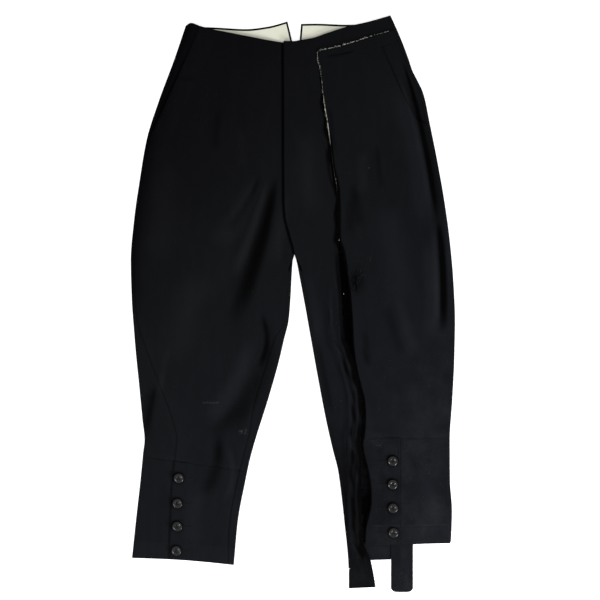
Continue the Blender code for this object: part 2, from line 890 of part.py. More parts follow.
def add_left_cuff():
    top = shifted(left_cuff_seam, -SEAM_GAP / 2)
    shares = (0, 0.06, 0.14, 0.28, 0.42, 0.57, 0.71, 0.86, 1)
    front_rows = [between(share, left_hem, top) for share in shares]
    columns = [0, 0.2, 0.42, 0.62, 0.8, 1]
    end = level(LEFT_PLACKET)
    add_sheet("cuff_left_front", WOOL, slash_edge, end, front_rows, columns, cuff_left_front_height)
    rows = [between(share, left_back_hem, top) for share in shares]
    sides = (cuff_left_outer, back_left_inner)
    add_back("cuff_left_back", WOOL, *sides, rows, left_cuff_lap, CUFF_RUN_STEPS, front_rows)


def tab_height(x, y):
    """The tab lies on the ground below the hem and on the cuff's back above it."""
    return TAB_CLOTH + (CLOTH + SEAM_GAP) * ease(y, -448, -428)


def add_tab():
    half = TAB_WIDTH / 2

    def bottom(x):
        return TAB_BOTTOM + TAB_CORNER * np.clip(np.abs(x - TAB_CENTRE) / half, 0, 1) ** 6

    top = level(TAB_TOP)
    shares = (0, 0.1, 0.2, 0.28, 0.38, 0.47, 0.6, 0.8, 1)
    rows = [between(share, bottom, top) for share in shares]
    columns = [0, 0.08, 0.2, 0.4, 0.6, 0.8, 0.92, 1]
    start = level(TAB_CENTRE - half)
    end = level(TAB_CENTRE + half)
    add_sheet("strap_tab", WOOL, start, end, rows, columns, tab_height, TAB_CLOTH)


def canvas_path():
    """Points along the slash, from its outer end to the corner and down its raw edge."""
    corner_x = float(slash_edge(420))
    path = [(x, float(slash_across(x))) for x in np.linspace(158, corner_x, 13)]
    path += [(float(slash_edge(y)), y) for y in np.linspace(404, 186, 16)]
    return path


def add_canvas_edge():
    """The frayed canvas that shows along the slash, lying on the inner part beside the raw edge."""
    path = canvas_path()
    outside = np.empty((len(path), 2, 3))
    for k, (x, y) in enumerate(path):
        runs = np.diff(np.array(path[max(k - 1, 0):k + 2]), axis=0)
        runs = runs / np.hypot(runs[:, 0], runs[:, 1])[:, None]
        run = runs.mean(axis=0)
        away = np.array([run[1], -run[0]]) / (run @ run)
        for side, distance in enumerate((2 * SEAM_GAP, 2.5 + 0.5 * math.sin(k * 2.1))):
            place = np.array([x, y]) + away * distance
            height = float(front_left_inner_height(*place)) + CANVAS_SEAT + CANVAS_CLOTH
            outside[k, side] = (*place, height)
    inside = outside - np.array([0, 0, CANVAS_CLOTH])
    add_wall("canvas_edge", CANVAS, outside, inside)


def button_mesh():
    """A round button with a raised rim, a dished middle and four holes."""
    radius = BUTTON_RADIUS
    profile = [
        (0, 0),
        (radius - 1.2, 0),
        (radius, 1.2),
        (radius, BUTTON_THICK - 0.9),
        (radius - 0.7, BUTTON_THICK),
        (radius - BUTTON_RIM, BUTTON_THICK - 0.3),
        (radius - BUTTON_RIM - 1.0, BUTTON_THICK - BUTTON_DISH),
        (0, BUTTON_THICK - BUTTON_DISH),
    ]
    shape = bmesh.new()
    around = 16
    rings = []
    for reach, height in profile:
        if reach == 0:
            rings.append([shape.verts.new((0, 0, height * MM))])
            continue
        ring = []
        for k in range(around):
            angle = 2 * math.pi * k / around
            place = (reach * math.cos(angle), reach * math.sin(angle), height)
            ring.append(shape.verts.new([value * MM for value in place]))
        rings.append(ring)
    for lower, upper in zip(rings, rings[1:]):
        for k in range(around):
            following = (k + 1) % around
            corners = [lower[k % len(lower)], lower[following % len(lower)]]
            corners += [upper[following % len(upper)], upper[k % len(upper)]]
            unique = list(dict.fromkeys(corners))
            shape.faces.new(unique)
    bmesh.ops.recalc_face_normals(shape, faces=shape.faces)
    mesh = bpy.data.meshes.new("button")
    shape.to_mesh(mesh)
    shape.free()
    mesh.shade_smooth()
    mesh.set_sharp_from_angle(angle=math.radians(35))
    return mesh


def add_button_drill():
    """Four pins in one hidden object, which cut the thread holes of every button."""
    shape = bmesh.new()
    for k in range(4):
        angle = math.pi / 4 + k * math.pi / 2
        pins = bmesh.ops.create_cone(
            shape,
            cap_ends=True,
            segments=6,
            radius1=BUTTON_HOLE_RADIUS * MM,
            radius2=BUTTON_HOLE_RADIUS * MM,
            depth=3 * BUTTON_THICK * MM,
        )
        offset = (BUTTON_HOLE_SPREAD * MM * math.cos(angle), BUTTON_HOLE_SPREAD * MM * math.sin(angle), 0)
        bmesh.ops.translate(shape, verts=pins["verts"], vec=offset)
    mesh = bpy.data.meshes.new("button_drill")
    shape.to_mesh(mesh)
    shape.free()
    drill = bpy.data.objects.new("button_drill", mesh)
    bpy.context.scene.collection.objects.link(drill)
    drill.hide_render = True
    drill.display_type = "WIRE"
    return drill


# Button places on each cuff, from the top: x, y
RIGHT_BUTTONS = [(-188.3, -287.4), (-190.4, -329.0), (-190.8, -367.0), (-192.2, -407.0)]
LEFT_BUTTONS = [(164.7, -259.1), (164.7, -297.8), (165.3, -336.9), (166.0, -377.3)]


def highest_under(x, y, height):
    """Highest point of the cloth under a button."""
    reach = BUTTON_RADIUS
    spots = [(x + a * reach, y + b * reach) for a in (-1, -0.5, 0, 0.5, 1) for b in (-1, -0.5, 0, 0.5, 1)]
    return max(float(height(a, b)) for a, b in spots)


def add_buttons():
    mesh = button_mesh()
    for side, places, height in (
        ("right", RIGHT_BUTTONS, cuff_right_front_height),
        ("left", LEFT_BUTTONS, cuff_left_front_height),
    ):
        for number, (x, y) in enumerate(places, 1):
            button = add_object(f"button_{side}_{number}", mesh.copy(), HORN)
            seat = highest_under(x, y, height) + SEAM_GAP
            button.location = (x * MM, y * MM, seat * MM)
            drill = add_button_drill()
            drill.name = f"drill_{side}_{number}"
            drill.location = button.location
            holes = button.modifiers.new("thread holes", "BOOLEAN")
            holes.operation = "DIFFERENCE"
            holes.object = drill


def clear_scene():
    for thing in list(bpy.data.objects):
        bpy.data.objects.remove(thing, do_unlink=True)


def main():
    clear_scene()
    add_backs()
    add_front_right()
    add_front_left_inner()
    add_front_left_outer()
    add_pocket_sides()
    add_facings()
    add_right_cuff()
    add_left_cuff()
    add_tab()
    add_canvas_edge()
    add_buttons()


main()
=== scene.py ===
"""Looks of the black wool trousers: fine cloth on the solids' form, sewing, buttons and studio light."""

import math
import random

import bpy
import numpy as np
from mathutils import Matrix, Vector


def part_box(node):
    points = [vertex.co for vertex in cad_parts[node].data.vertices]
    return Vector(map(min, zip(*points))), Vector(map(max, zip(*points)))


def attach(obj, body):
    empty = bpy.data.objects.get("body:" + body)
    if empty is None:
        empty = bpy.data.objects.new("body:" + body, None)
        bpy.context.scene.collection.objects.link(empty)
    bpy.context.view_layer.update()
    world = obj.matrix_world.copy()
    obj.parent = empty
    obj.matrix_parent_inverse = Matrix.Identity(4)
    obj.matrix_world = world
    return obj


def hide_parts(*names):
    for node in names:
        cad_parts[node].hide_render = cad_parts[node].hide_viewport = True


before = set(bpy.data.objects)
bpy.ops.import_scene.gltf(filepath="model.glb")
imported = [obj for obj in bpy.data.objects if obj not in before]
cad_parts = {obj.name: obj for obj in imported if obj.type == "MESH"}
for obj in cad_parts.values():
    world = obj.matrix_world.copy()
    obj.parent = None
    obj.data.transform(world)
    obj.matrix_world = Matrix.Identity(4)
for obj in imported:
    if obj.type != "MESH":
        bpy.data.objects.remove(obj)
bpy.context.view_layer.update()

# Sizes are millimetres, in the frame of the solids: +Y to the waist, +X to the wearer's left leg.
MM = 0.001

# Camera and picture: the photograph looks straight down
PICTURE_WIDTH = 990.0
PICTURE_CENTRE = (11.7, 6.6)
CAMERA_HEIGHT = 9000.0
SENSOR_WIDTH = 36.0
FLOOR_REACH = 6000.0
FLOOR_GAP = 0.4
SKY_STRENGTH = 0.62

# Cloth and layers, as in the solids
CLOTH = 1.5
FACING_CLOTH = 1.0
FACING_RIM = 3.2
FACING_DEPTH = 50.0
EDGE_ROUNDING = 0.45
FACING_ROUNDING = 0.3
LAYER_GAP = 0.3
LAYER_HEIGHT = 5.6
LEAST_HEIGHT = 4.4
LEAST_FRONT_TOP = 3.4
LAP_RISE = 1.15
WAIST_RISE = 1.4
WAIST_RISE_FROM = 350.0
WAIST_RISE_TO = 400.0
CROTCH = 81.0
BACK_NOTCH = 396.0
CENTRE_BACK = (2.5, 7.6)
LEG_ZONE_FROM = -200.0
TOP_ZONE_FROM = 394.0
FLY_UNDERLAP = 10.0
SLASH_UNDERLAP = 8.0
POCKET_UNDERLAP = 15.0
CUFF_UNDERLAP = 16.0
HEM_TURN = 30.0
HEM_SHOWS_BELOW = -393.0
LEFT_CUFF_SEAM = -221.0
RIGHT_CUFF_SEAM = -286.3
RIGHT_CUFF_SEAM_SLOPE = -0.14
LEFT_PLACKET = 176.7
TAB_CENTRE = 180.0
TAB_WIDTH = 36.3
TAB_TOP = -372.0
TAB_BOTTOM = -475.4
TAB_CLOTH = 1.3
TAB_CORNER = 6.0
TAB_BULGE = 1.4

# Fineness of the shells
ROW_STEP = 2.2
COLUMN_STEP = 1.9
INNER_ROW_STEP = 2.6
BEND_COLUMNS = 8
FLAT_COLUMNS = 23
STRIP_COLUMNS = 41
BAND_COLUMNS = 46

# Rounds in which x and y of a row settle on each other
SOLVING_STEPS = 5

# Wearer's right leg: station y, outer fold x, side seam's distance in from that fold
RIGHT_OUTER = [
    (462, -175.8, 5.5), (402, -196.2, 5.5), (336, -220.8, 5.5), (270, -241.5, 5.5), (204, -252.8, 5.5),
    (138, -262.1, 5.5), (72, -267.5, 5.5), (7, -265.8, 5.5), (-26, -263.6, 6.5), (-80, -259.2, 19),
    (-135, -253.6, 34), (-191, -248.2, 49.5), (-224, -244.8, 53), (-244, -247.0, 53), (-290, -251.5, 53),
    (-356, -258.9, 57), (-432, -266.9, 63),
]

# Wearer's right leg: station y, inner fold x, inseam's distance in from that fold
RIGHT_INNER = [
    (81, 2.35, 5.5), (72, -0.2, 5.5), (7, -4.1, 5.5), (-26, -6.9, 6.5), (-59, -14.7, 16.5), (-92, -22.4, 19),
    (-158, -41.1, 21), (-224, -61.9, 13), (-257, -71.0, 13), (-290, -78.0, 14), (-356, -90.4, 14),
    (-432, -97.6, 10),
]

# Wearer's left leg: station y, outer fold x. All its seams lie equally far in from the folds
SEAM_INSET = 5.5
LEFT_OUTER = [
    (477, 160.6), (436, 178.7), (403, 191.1), (386, 196.7), (370, 204.6), (353, 213.0), (337, 218.0),
    (304, 224.6), (238, 237.9), (172, 249.6), (106, 258.7), (40, 264.7), (-26, 267.5), (-92, 266.3),
    (-158, 263.0), (-224, 258.9), (-290, 259.2), (-340, 262.5), (-389, 260.9), (-398, 259.0),
]

# Wearer's left leg: station y, inner fold x
LEFT_INNER = [
    (81, 2.65), (73, 5.3), (40, 11.9), (7, 18.2), (-59, 30.0), (-125, 41.9), (-191, 54.6), (-241, 66.0),
    (-274, 74.3), (-307, 79.0), (-356, 84.5), (-437, 91.8), (-470, 92.2),
]

# How the back's inner edge curls up into the inner fold: distance below the crotch, turn in degrees,
# length of the bend and straight run after it
CROTCH_CURL = [
    (-46, 0, 3.0, 1.0),
    (-24, 45, 2.5, 0.7),
    (0, 90, 2.9, 0.4),
    (12, 120, 4.0, 1.0),
    (30, 180, math.pi * LAYER_HEIGHT / 2, 2.5),
]

# Fly edge of the left front: station y, x
FLY_EDGE = [(436, -15.6), (172, -14.7), (145, -13.0), (112, -5.0), (92, 0.6), (81, 2.65)]

# Top edges: x, y
FRONT_RIGHT_TOP = [
    (-177, 458.8), (-168, 463.6), (-152, 458.2), (-133, 453.2), (-121, 450.8), (-74, 441.6), (-24, 432.3),
    (0, 429),
]
FRONT_LEFT_TOP = [
    (-17, 434), (1, 433.6), (11, 435.2), (33, 439), (56, 446.8), (92, 458.2), (124, 465.5), (161, 476),
]
BACK_RIGHT_TOP = [(-177, 458.4), (-160, 457.2), (-130, 456.2), (-77, 453.4), (-41, 457.5), (-9, 466)]
BACK_LEFT_TOP = [(13, 462), (38, 462.4), (88, 460.7), (130, 463), (161, 475.4)]
NOTCH_RIGHT_TOP = (466.0, -8.9)
NOTCH_LEFT_TOP = (460.0, 13.2)

# Slash across and down the left front: its level part as x, y, and its raw edge down the leg as y, x
SLASH_ACROSS = [(38, 417.2), (55, 420), (77, 425), (100, 431.8), (132, 441.9), (162, 450.3), (176, 453)]
SLASH_EDGE = [
    (425, 40.2), (403, 41.3), (392, 44.6), (371, 47.6), (337, 51.5), (292, 58.9), (223, 67.2), (187, 73.0),
    (158, 74.4), (108, 76.2), (89, 82.2), (63, 87.4), (17, 94.8), (-35, 98.7), (-61, 99.8), (-78, 101.4),
    (-109, 106.2), (-135, 112.4), (-160, 118.6), (-186, 120.0), (-214, 118.5), (-231, 115.2), (-250, 118.0),
    (-274, 124.2), (-307, 129.0), (-327, 129.2), (-350, 125.2), (-370, 120.3), (-398, 118.6),
]

# Torn edge of the inner part of the left front: station y, x. Above the tear it follows the raw edge
TEAR_FROM = 150.0
TORN_EDGE = [(y, x + SLASH_UNDERLAP) for y, x in SLASH_EDGE if y > TEAR_FROM] + [
    (122, 82.6), (100, 75.6), (89, 74.4), (63, 75.6), (17, 79.9), (-35, 82.2), (-61, 85.5), (-78, 93.6),
    (-109, 102.6), (-135, 109.0), (-160, 112.9), (-186, 114.0), (-219, 110.7), (-250, 113.3), (-310, 112.4),
    (-370, 113.4), (-389, 115.2), (-400, 118.4), (-422, 128.0), (-470, 137.0),
]

# Pocket openings: station y, x of the front panel's slanted edge
POCKET_RIGHT = [(470, -149.5), (453, -155.3), (381.5, -187.0), (326, -212.7), (281, -233.0)]
POCKET_LEFT = [(425, 145.0), (381.5, 164.8), (334, 186.6), (308, 202.0)]
POCKET_LEFT_ENDS = (294.0, 435.0)

# Hems: x, y
RIGHT_HEM = [(-268, -418.8), (-196, -421.6), (-144, -425.7), (-96, -430.7)]
LEFT_HEM = [(110, -397.4), (262, -394.6)]
LEFT_BACK_HEM = [(88, -437), (100, -434), (122, -423), (161, -421.5), (193, -397), (262, -394.6)]
STRIP_HEM = [(90, -469.4), (140, -467.2)]

# Soft folds in the fronts: first point x y, middle point x y, last point x y,
# half width at the first and at the last point, height (a trough is below zero)
FOLDS = [
    (-28, 218, -56, 112, -90, -4, 12, 30, -1.2),
    (-62, 214, -92, 150, -128, 92, 18, 30, 1.5),
    (-12, 190, -22, 120, -34, 60, 12, 18, 1.2),
    (-34, -24, -56, -134, -122, -214, 14, 24, -1.1),
    (-66, -40, -98, -130, -150, -196, 18, 26, 1.7),
    (-120, -206, -128, -262, -152, -320, 12, 16, -0.9),
    (-232, -130, -240, -180, -243, -232, 12, 14, -0.8),
    (-150, 60, -180, -20, -196, -110, 40, 44, 1.0),
    (-206, 250, -214, 160, -220, 60, 34, 40, 0.9),
    (179, 396, 222, 254, 241, 110, 10, 14, -1.2),
    (241, 120, 247, 20, 243, -50, 12, 14, -1.2),
    (160, 380, 200, 250, 218, 110, 22, 26, 1.5),
    (222, 120, 230, 20, 226, -60, 20, 20, 1.7),
    (115, 262, 114, 220, 118, 176, 12, 16, 1.1),
    (102, 206, 96, 160, 92, 108, 12, 14, -0.8),
    (150, 4, 166, -44, 180, -90, 12, 14, -1.1),
    (168, 22, 184, -30, 200, -92, 14, 18, 1.3),
    (116, -40, 121, -70, 124, -104, 9, 10, -0.8),
    (150, 180, 168, 80, 176, -10, 36, 40, 1.0),
    (200, -120, 206, -170, 204, -214, 30, 30, 0.9),
    (20, 300, 24, 220, 34, 140, 24, 26, 1.0),
    (210, -262, 226, -320, 240, -372, 22, 24, 0.9),
    (-150, -300, -166, -350, -160, -404, 22, 24, 0.9),
]

# Finer creases between the soft folds, with the same columns
CREASES = [
    (-26, 224, -54, 90, -106, -42, 6, 24, -1.35),
    (-52, 218, -79, 162, -116, 112, 5, 16, -1.0),
    (-40, 214, -66, 128, -100, 40, 7, 16, 1.3),
    (-54, -12, -43, -62, -60, -110, 6, 9, -1.4),
    (-50, -94, -94, -170, -142, -228, 14, 20, -0.45),
    (-134, -214, -122, -268, -150, -324, 13, 16, -0.45),
    (-112, -226, -100, -280, -118, -330, 8, 10, 0.9),
    (-226, -126, -234, -170, -244, -214, 7, 10, -0.7),
    (-206, -60, -214, -110, -222, -150, 8, 10, 0.6),
    (178, 408, 212, 290, 240, 124, 3, 7, -2.5),
    (238, 144, 247, 60, 248, -50, 7, 9, -2.4),
    (170, 380, 203, 282, 229, 130, 5, 9, 1.2),
    (229, 140, 236, 50, 236, -40, 8, 10, 1.2),
    (246, 236, 254, 130, 258, 10, 6, 7, 1.2),
    (139, 268, 141, 230, 147, 184, 6, 10, -0.4),
    (104, 192, 107, 160, 111, 122, 10, 15, -0.5),
    (150, 4, 166, -44, 180, -90, 12, 14, 0.35),
    (50, 408, 78, 411.5, 106, 420, 2.6, 3.0, -0.9),
    (112, -68, 119, -86, 126, -104, 7, 9, -0.3),
    (101, 50, 103, 36, 104, 18, 3, 4, -1.0),
    (24, 60, 34, 0, 46, -70, 12, 14, 0.6),
    (40, -60, 52, -120, 66, -190, 7, 9, -0.6),
    (190, -236, 200, -262, 216, -284, 9, 12, -0.25),
    (-200, 380, -180, 372, -156, 374, 6, 7, -0.4),
    (-120, 330, -126, 290, -128, 250, 10, 12, -0.5),
    (60, 330, 64, 290, 70, 240, 6, 8, -0.5),
    (-90, 300, -84, 260, -80, 220, 12, 12, 0.5),
]

# Long crumples beside the torn edge: distance in from the edge, half width, height
TORN_CRUMPLES = [(5, 5, 1.2), (12, 4, -0.9), (19, 6, 1.3), (28, 6, -0.8)]
TORN_CREASES = [(3.5, 1.7, -0.9), (8.5, 2.0, 0.7), (13.5, 1.8, -1.0), (17.5, 1.7, 0.6), (24, 2.2, -0.8)]

# Painted shade along the slash's raw edge: station y and the width of the dark edge there, and how strongly
# painted shadows darken the cloth
SLASH_SHADE = [
    (-470, 0.5), (-440, 3), (-400, 9), (-320, 11), (-270, 9), (-235, 5), (-160, 11), (-100, 13), (-60, 14),
    (0, 12), (60, 10), (110, 8.5), (190, 7), (225, 5), (245, 7), (262, 10), (285, 11), (310, 9), (345, 5),
    (417, 2.6),
]
SHADOW = 2.6

# Small waves of the whole cloth: wavelength, height
RIPPLES = [(210, 0.16), (150, 0.14), (96, 0.12), (70, 0.10), (47, 0.07), (33, 0.05), (21, 0.03), (14, 0.018)]
RIPPLE_DIRECTIONS = 4


# Button places on each cuff, from the top: x, y
RIGHT_BUTTONS = [(-188.3, -287.4), (-190.4, -329.0), (-190.8, -367.0), (-192.2, -407.0)]
LEFT_BUTTONS = [(164.7, -259.1), (164.7, -297.8), (165.3, -336.9), (166.0, -377.3)]
BUTTON_RADIUS = 8.0
BUTTON_THICK = 3.2
BUTTON_DISH = 1.1
BUTTON_HOLE = 0.95
BUTTON_HOLE_SPREAD = 1.9
BUTTON_SEAT = 0.25
BUTTON_STRAND = 0.28
BUTTON_THREAD = 0.17
BUTTONHOLE_LENGTH = 23.0
BUTTONHOLE_STITCHES = 30

# Long threads at the torn spot of the outer part: x, y, heading in degrees
TORN_THREADS = [
    (108, 44, 35), (104, 38, 70), (112, 54, 20), (101, 30, 120), (126, 60, 60), (98, 48, 200), (99, 22, 80),
]

# Cream canvas down the slash: where the strip ends, and how much of it shows at station y
CANVAS_ENDS = 188.0
CANVAS_SHOWS = [
    (188, 0), (258, 0), (265, 0.45), (282, 1.5), (336, 1.25), (356, 0.4), (390, 0.5), (404, 0.8), (418, 0.75),
    (424, 1.1), (440, 1.0), (445, 0.5), (452, 0.6),
]
CANVAS_THREADS = 1050
CANVAS_CLOTH = 0.7

# Stitches: radius, length and distance apart, and how far the rows lie in from edges and seams
STITCH_RADIUS = 0.24
STITCH_LENGTH = 1.9
STITCH_SPACING = 2.7
POCKET_STITCHES_IN = 6.0
PLACKET_STITCHES_IN = 3.2
CUFF_STITCHES_IN = 2.6
HEM_STITCHES_IN = 1.5
TAB_STITCHES_IN = 3.0

# Cream specks beside the gap: x, y
CREAM_SPECKS = [(76.5, 105.6), (83.5, 17.0), (70.5, 206), (71.5, 199)]


class Line:
    """A smooth line through the rows of a table, with no overshoot between them."""

    def __init__(self, rows, column=1):
        rows = sorted(rows)
        self.at = np.array([row[0] for row in rows], dtype=float)
        self.value = np.array([row[column] for row in rows], dtype=float)
        step = np.diff(self.at)
        rise = np.diff(self.value) / step
        self.slope = np.concatenate([rise[:1], np.zeros(len(rise) - 1), rise[-1:]])
        for k, (before, after) in enumerate(zip(rise, rise[1:]), 1):
            if before * after > 0:
                self.slope[k] = 2 * before * after / (before + after)

    def __call__(self, at):
        at = np.asarray(at, dtype=float)
        k = np.clip(np.searchsorted(self.at, at) - 1, 0, len(self.at) - 2)
        step = self.at[k + 1] - self.at[k]
        t = np.clip((at - self.at[k]) / step, 0, 1)
        first = (1 + 2 * t) * (1 - t) ** 2 * self.value[k] + t * (1 - t) ** 2 * step * self.slope[k]
        second = t * t * (3 - 2 * t) * self.value[k + 1] + t * t * (t - 1) * step * self.slope[k + 1]
        return first + second


right_outer, right_side_seam = Line(RIGHT_OUTER), Line(RIGHT_OUTER, 2)
right_inner, right_inseam = Line(RIGHT_INNER), Line(RIGHT_INNER, 2)
left_outer, left_inner = Line(LEFT_OUTER), Line(LEFT_INNER)
front_right_top, front_left_top = Line(FRONT_RIGHT_TOP), Line(FRONT_LEFT_TOP)
back_right_top, back_left_top = Line(BACK_RIGHT_TOP), Line(BACK_LEFT_TOP)
fly_edge, slash_across = Line(FLY_EDGE), Line(SLASH_ACROSS)
slash_edge, torn_edge = Line(SLASH_EDGE), Line(TORN_EDGE)
pocket_right, pocket_left = Line(POCKET_RIGHT), Line(POCKET_LEFT)
right_hem, left_hem = Line(RIGHT_HEM), Line(LEFT_HEM)
left_back_hem, strip_hem = Line(LEFT_BACK_HEM), Line(STRIP_HEM)
curl_turn, curl_length, curl_run = Line(CROTCH_CURL, 1), Line(CROTCH_CURL, 2), Line(CROTCH_CURL, 3)


def ease(value, start, end):
    """0 before start and 1 after end, with a soft step between them."""
    t = np.clip((np.asarray(value, dtype=float) - start) / (end - start), 0, 1)
    return t * t * (3 - 2 * t)


def right_cuff_seam(x):
    return RIGHT_CUFF_SEAM + RIGHT_CUFF_SEAM_SLOPE * x


def level(height):
    return lambda x: height + 0 * x


def shifted(line, distance):
    return lambda x: line(x) + distance


left_cuff_seam = level(LEFT_CUFF_SEAM)


def right_seam(y):
    return right_outer(y) + right_side_seam(y)


# The height of the cloth

def hump(distance, width):
    """1 at no distance, falling softly to 0 at the width."""
    return 0.5 + 0.5 * np.cos(np.pi * np.clip(np.abs(distance) / width, 0, 1))


def fold_height(x, y, fold):
    """Height that one soft fold adds at x, y."""
    x0, y0, x1, y1, x2, y2, first_width, last_width, height = fold
    t = np.linspace(0, 1, 9)
    bend_x = 2 * x1 - 0.5 * (x0 + x2)
    bend_y = 2 * y1 - 0.5 * (y0 + y2)
    path_x = (1 - t) ** 2 * x0 + 2 * t * (1 - t) * bend_x + t * t * x2
    path_y = (1 - t) ** 2 * y0 + 2 * t * (1 - t) * bend_y + t * t * y2
    nearest = np.full(np.shape(x), 1e9)
    along = np.zeros(np.shape(x))
    for k in range(8):
        run_x = path_x[k + 1] - path_x[k]
        run_y = path_y[k + 1] - path_y[k]
        part = ((x - path_x[k]) * run_x + (y - path_y[k]) * run_y) / (run_x ** 2 + run_y ** 2)
        part = np.clip(part, 0, 1)
        distance = np.hypot(x - path_x[k] - part * run_x, y - path_y[k] - part * run_y)
        closer = distance < nearest
        nearest = np.where(closer, distance, nearest)
        along = np.where(closer, (k + part) / 8, along)
    width = first_width + (last_width - first_width) * along
    falloff = ease(along, 0, 0.25) * ease(1 - along, 0, 0.25)
    return height * falloff * hump(nearest, width)


def torn_crumples(x, y):
    """Height of the long crumples beside the torn edge of the left front's inner part."""
    distance = torn_edge(y) - x
    height = 0
    for place, width, rise in TORN_CRUMPLES:
        sway = 1.5 * np.sin(y / 31 + place)
        height = height + rise * hump(distance - place - sway, width)
    inside = ease(distance, -3, 0) * (distance < 40)
    return height * inside * ease(-y, -40, 20) * ease(y, -440, -400)


def ripples(x, y):
    """Small uneven waves, from sines of mixed length and direction."""
    draw = random.Random(4)
    height = 0
    for length, rise in RIPPLES:
        for _ in range(RIPPLE_DIRECTIONS):
            angle = draw.uniform(-1.25, 1.25)
            phase = draw.uniform(0, 2 * math.pi)
            wave = 2 * math.pi * (x * math.cos(angle) + 0.55 * y * math.sin(angle)) / length
            height = height + rise * np.sin(wave + phase)
    return 0.55 * height


def creases(x, y):
    """Fine folds, the torn edge's creases and its roll down into the gap."""
    height = 0
    for fold in CREASES:
        height = height + fold_height(x, y, fold)
    distance = torn_edge(y) - x
    along = ease(-y, -90, 0) * ease(y, -452, -420)
    for place, width, rise in TORN_CREASES:
        sway = np.sin(y / 37 + 2 * place) + 0.5 * np.sin(y / 11 + place)
        sway = sway + 0.4 * np.sin(y / 5.3 + 3 * place)
        strength = np.clip(0.45 + 0.5 * np.sin(y / 17 + 3 * place) + 0.35 * np.sin(y / 6.7 + place), 0, 1.2)
        crease = 0.7 * rise * hump(distance - place - sway, width) * (distance > -2)
        height = height + along * strength * crease
    near_edge = ease(6.5 - np.abs(distance - 2), 0, 6.5)
    return height - 1.3 * near_edge * ease(-y, -110, -60) * ease(y, -440, -400)


def groove(distance, width=1.5):
    return np.exp(-(distance / width) ** 2)


def seam_relief(x, y):
    """Seams that sink a little between allowances pressed open beneath, and the turned hems."""
    height = 0
    right_leg = x < right_inner(y)
    for line, weight in (
        (right_seam(y), ease(-y, -40, 40) * (x < 0)),
        (right_inner(y) - right_inseam(y), ease(-y, 10, 60) * (x < 0)),
    ):
        away = x - line
        height = height + weight * (0.28 * groove(away, 9.0) - 0.75 * groove(away))
    across = y - right_cuff_seam(x)
    uneven = 0.6 + 0.4 * np.sin(x / 5.1 + np.sin(x / 13))
    height = height + right_leg * (0.20 * groove(across - 5, 6.0) - 0.30 * uneven * groove(across, 1.2))
    left_leg = x > slash_edge(y)
    across = y - LEFT_CUFF_SEAM
    height = height + left_leg * (0.14 * groove(across - 5, 6.0) - 0.16 * uneven * groove(across, 1.2))
    for hem, side in ((right_hem, x < 0), (left_hem, left_leg)):
        above = y - hem(x) - HEM_TURN
        height = height + side * (0.30 * ease(-above, -1.2, 1.2) - 0.12 * groove(above, 1.2)) * (y < -300)
    for places in (RIGHT_BUTTONS, LEFT_BUTTONS):
        for button_x, button_y in places:
            height = height - 0.75 * groove(np.hypot(x - button_x + 0.6, y - button_y - 0.8), 9.4)
    return height


def waist_rise(y):
    return WAIST_RISE * ease(y, WAIST_RISE_FROM, WAIST_RISE_TO)


def soft_folds(x, y):
    height = torn_crumples(x, y)
    for fold in FOLDS:
        height = height + fold_height(x, y, fold)
    return height


def front_height(x, y):
    """Height of the outside of the upper layer above the ground."""
    height = LAYER_HEIGHT + 0.25 * np.sin(x / 43 + y / 97) + 0.2 * np.sin(x / 71 - y / 59 + 1)
    height = height + soft_folds(x, y) + creases(x, y) + ripples(x, y) + seam_relief(x, y)
    over_tab = ease(x, 136, 160) * ease(-x, -224, -200) * ease(-y, 320, 366)
    height = height + TAB_BULGE * over_tab
    return np.maximum(height, LEAST_HEIGHT) + waist_rise(y)


def near_fly(x, y):
    return ease(30 - np.abs(x - fly_edge(y)), 0, 18) * ease(y, 60, 88)


def near_slash(x, y):
    down = ease(32 - np.abs(x - slash_edge(y)), 0, 20) * ease(y, 60, 96) * ease(-y, -430, -410)
    across = ease(32 - np.abs(y - slash_across(x)), 0, 20) * ease(x, 20, 36)
    return np.maximum(down, across)


def near_pocket_right(x, y):
    return ease(36 - np.abs(x - pocket_right(y)), 0, 18) * ease(y, 236, 256)


def near_pocket_left(x, y):
    return ease(x - pocket_left(y), -50, -30) * ease(y, 250, 272)


def near_right_placket(x, y):
    return ease(36 - np.abs(x - right_seam(y)), 0, 16)


def near_left_placket(x, y):
    return ease(36 - np.abs(x - LEFT_PLACKET), 0, 16)


def top_of(x, y, lap):
    return np.maximum(front_height(x, y) + LAP_RISE * lap, LEAST_FRONT_TOP + waist_rise(y))


def lapped(lap):
    """Height of a piece's outside, raised or sunk where it laps over or under another."""
    return lambda x, y: top_of(x, y, lap(x, y))


def no_lap(x, y):
    return 0 * x


def right_cuff_lap(x, y):
    return -near_right_placket(x, y) * ease(x, -240, -226)


def left_cuff_lap(x, y):
    return -near_left_placket(x, y)


def front_left_inner_height(x, y):
    flat = top_of(x, y, near_fly(x, y) - near_slash(x, y))
    return flat + (CLOTH - flat) * ease(-y, 438, 462)


front_right_height = lapped(lambda x, y: near_pocket_right(x, y) - near_fly(x, y))
front_left_outer_height = lapped(lambda x, y: np.maximum(near_slash(x, y), near_pocket_left(x, y)))
pocket_side_height = lapped(lambda x, y: -1.0)
cuff_right_front_height = lapped(near_right_placket)
cuff_left_front_height = lapped(near_left_placket)
cuff_back_right_height = lapped(right_cuff_lap)
cuff_back_left_height = lapped(left_cuff_lap)


def tab_height(x, y):
    return TAB_CLOTH + (CLOTH + LAYER_GAP) * ease(y, -448, -428)


def facing_height(x, y):
    wrinkle = 0.5 * ripples(1.7 * x, 2.3 * y) - 0.45 * groove(y - 417 - 0.9 * (x - 22), 2.2) * (x > 8)
    return CLOTH + LAYER_GAP + FACING_CLOTH + 0.25 + np.maximum(wrinkle, -0.3)


# Sides of the panels: x at station y

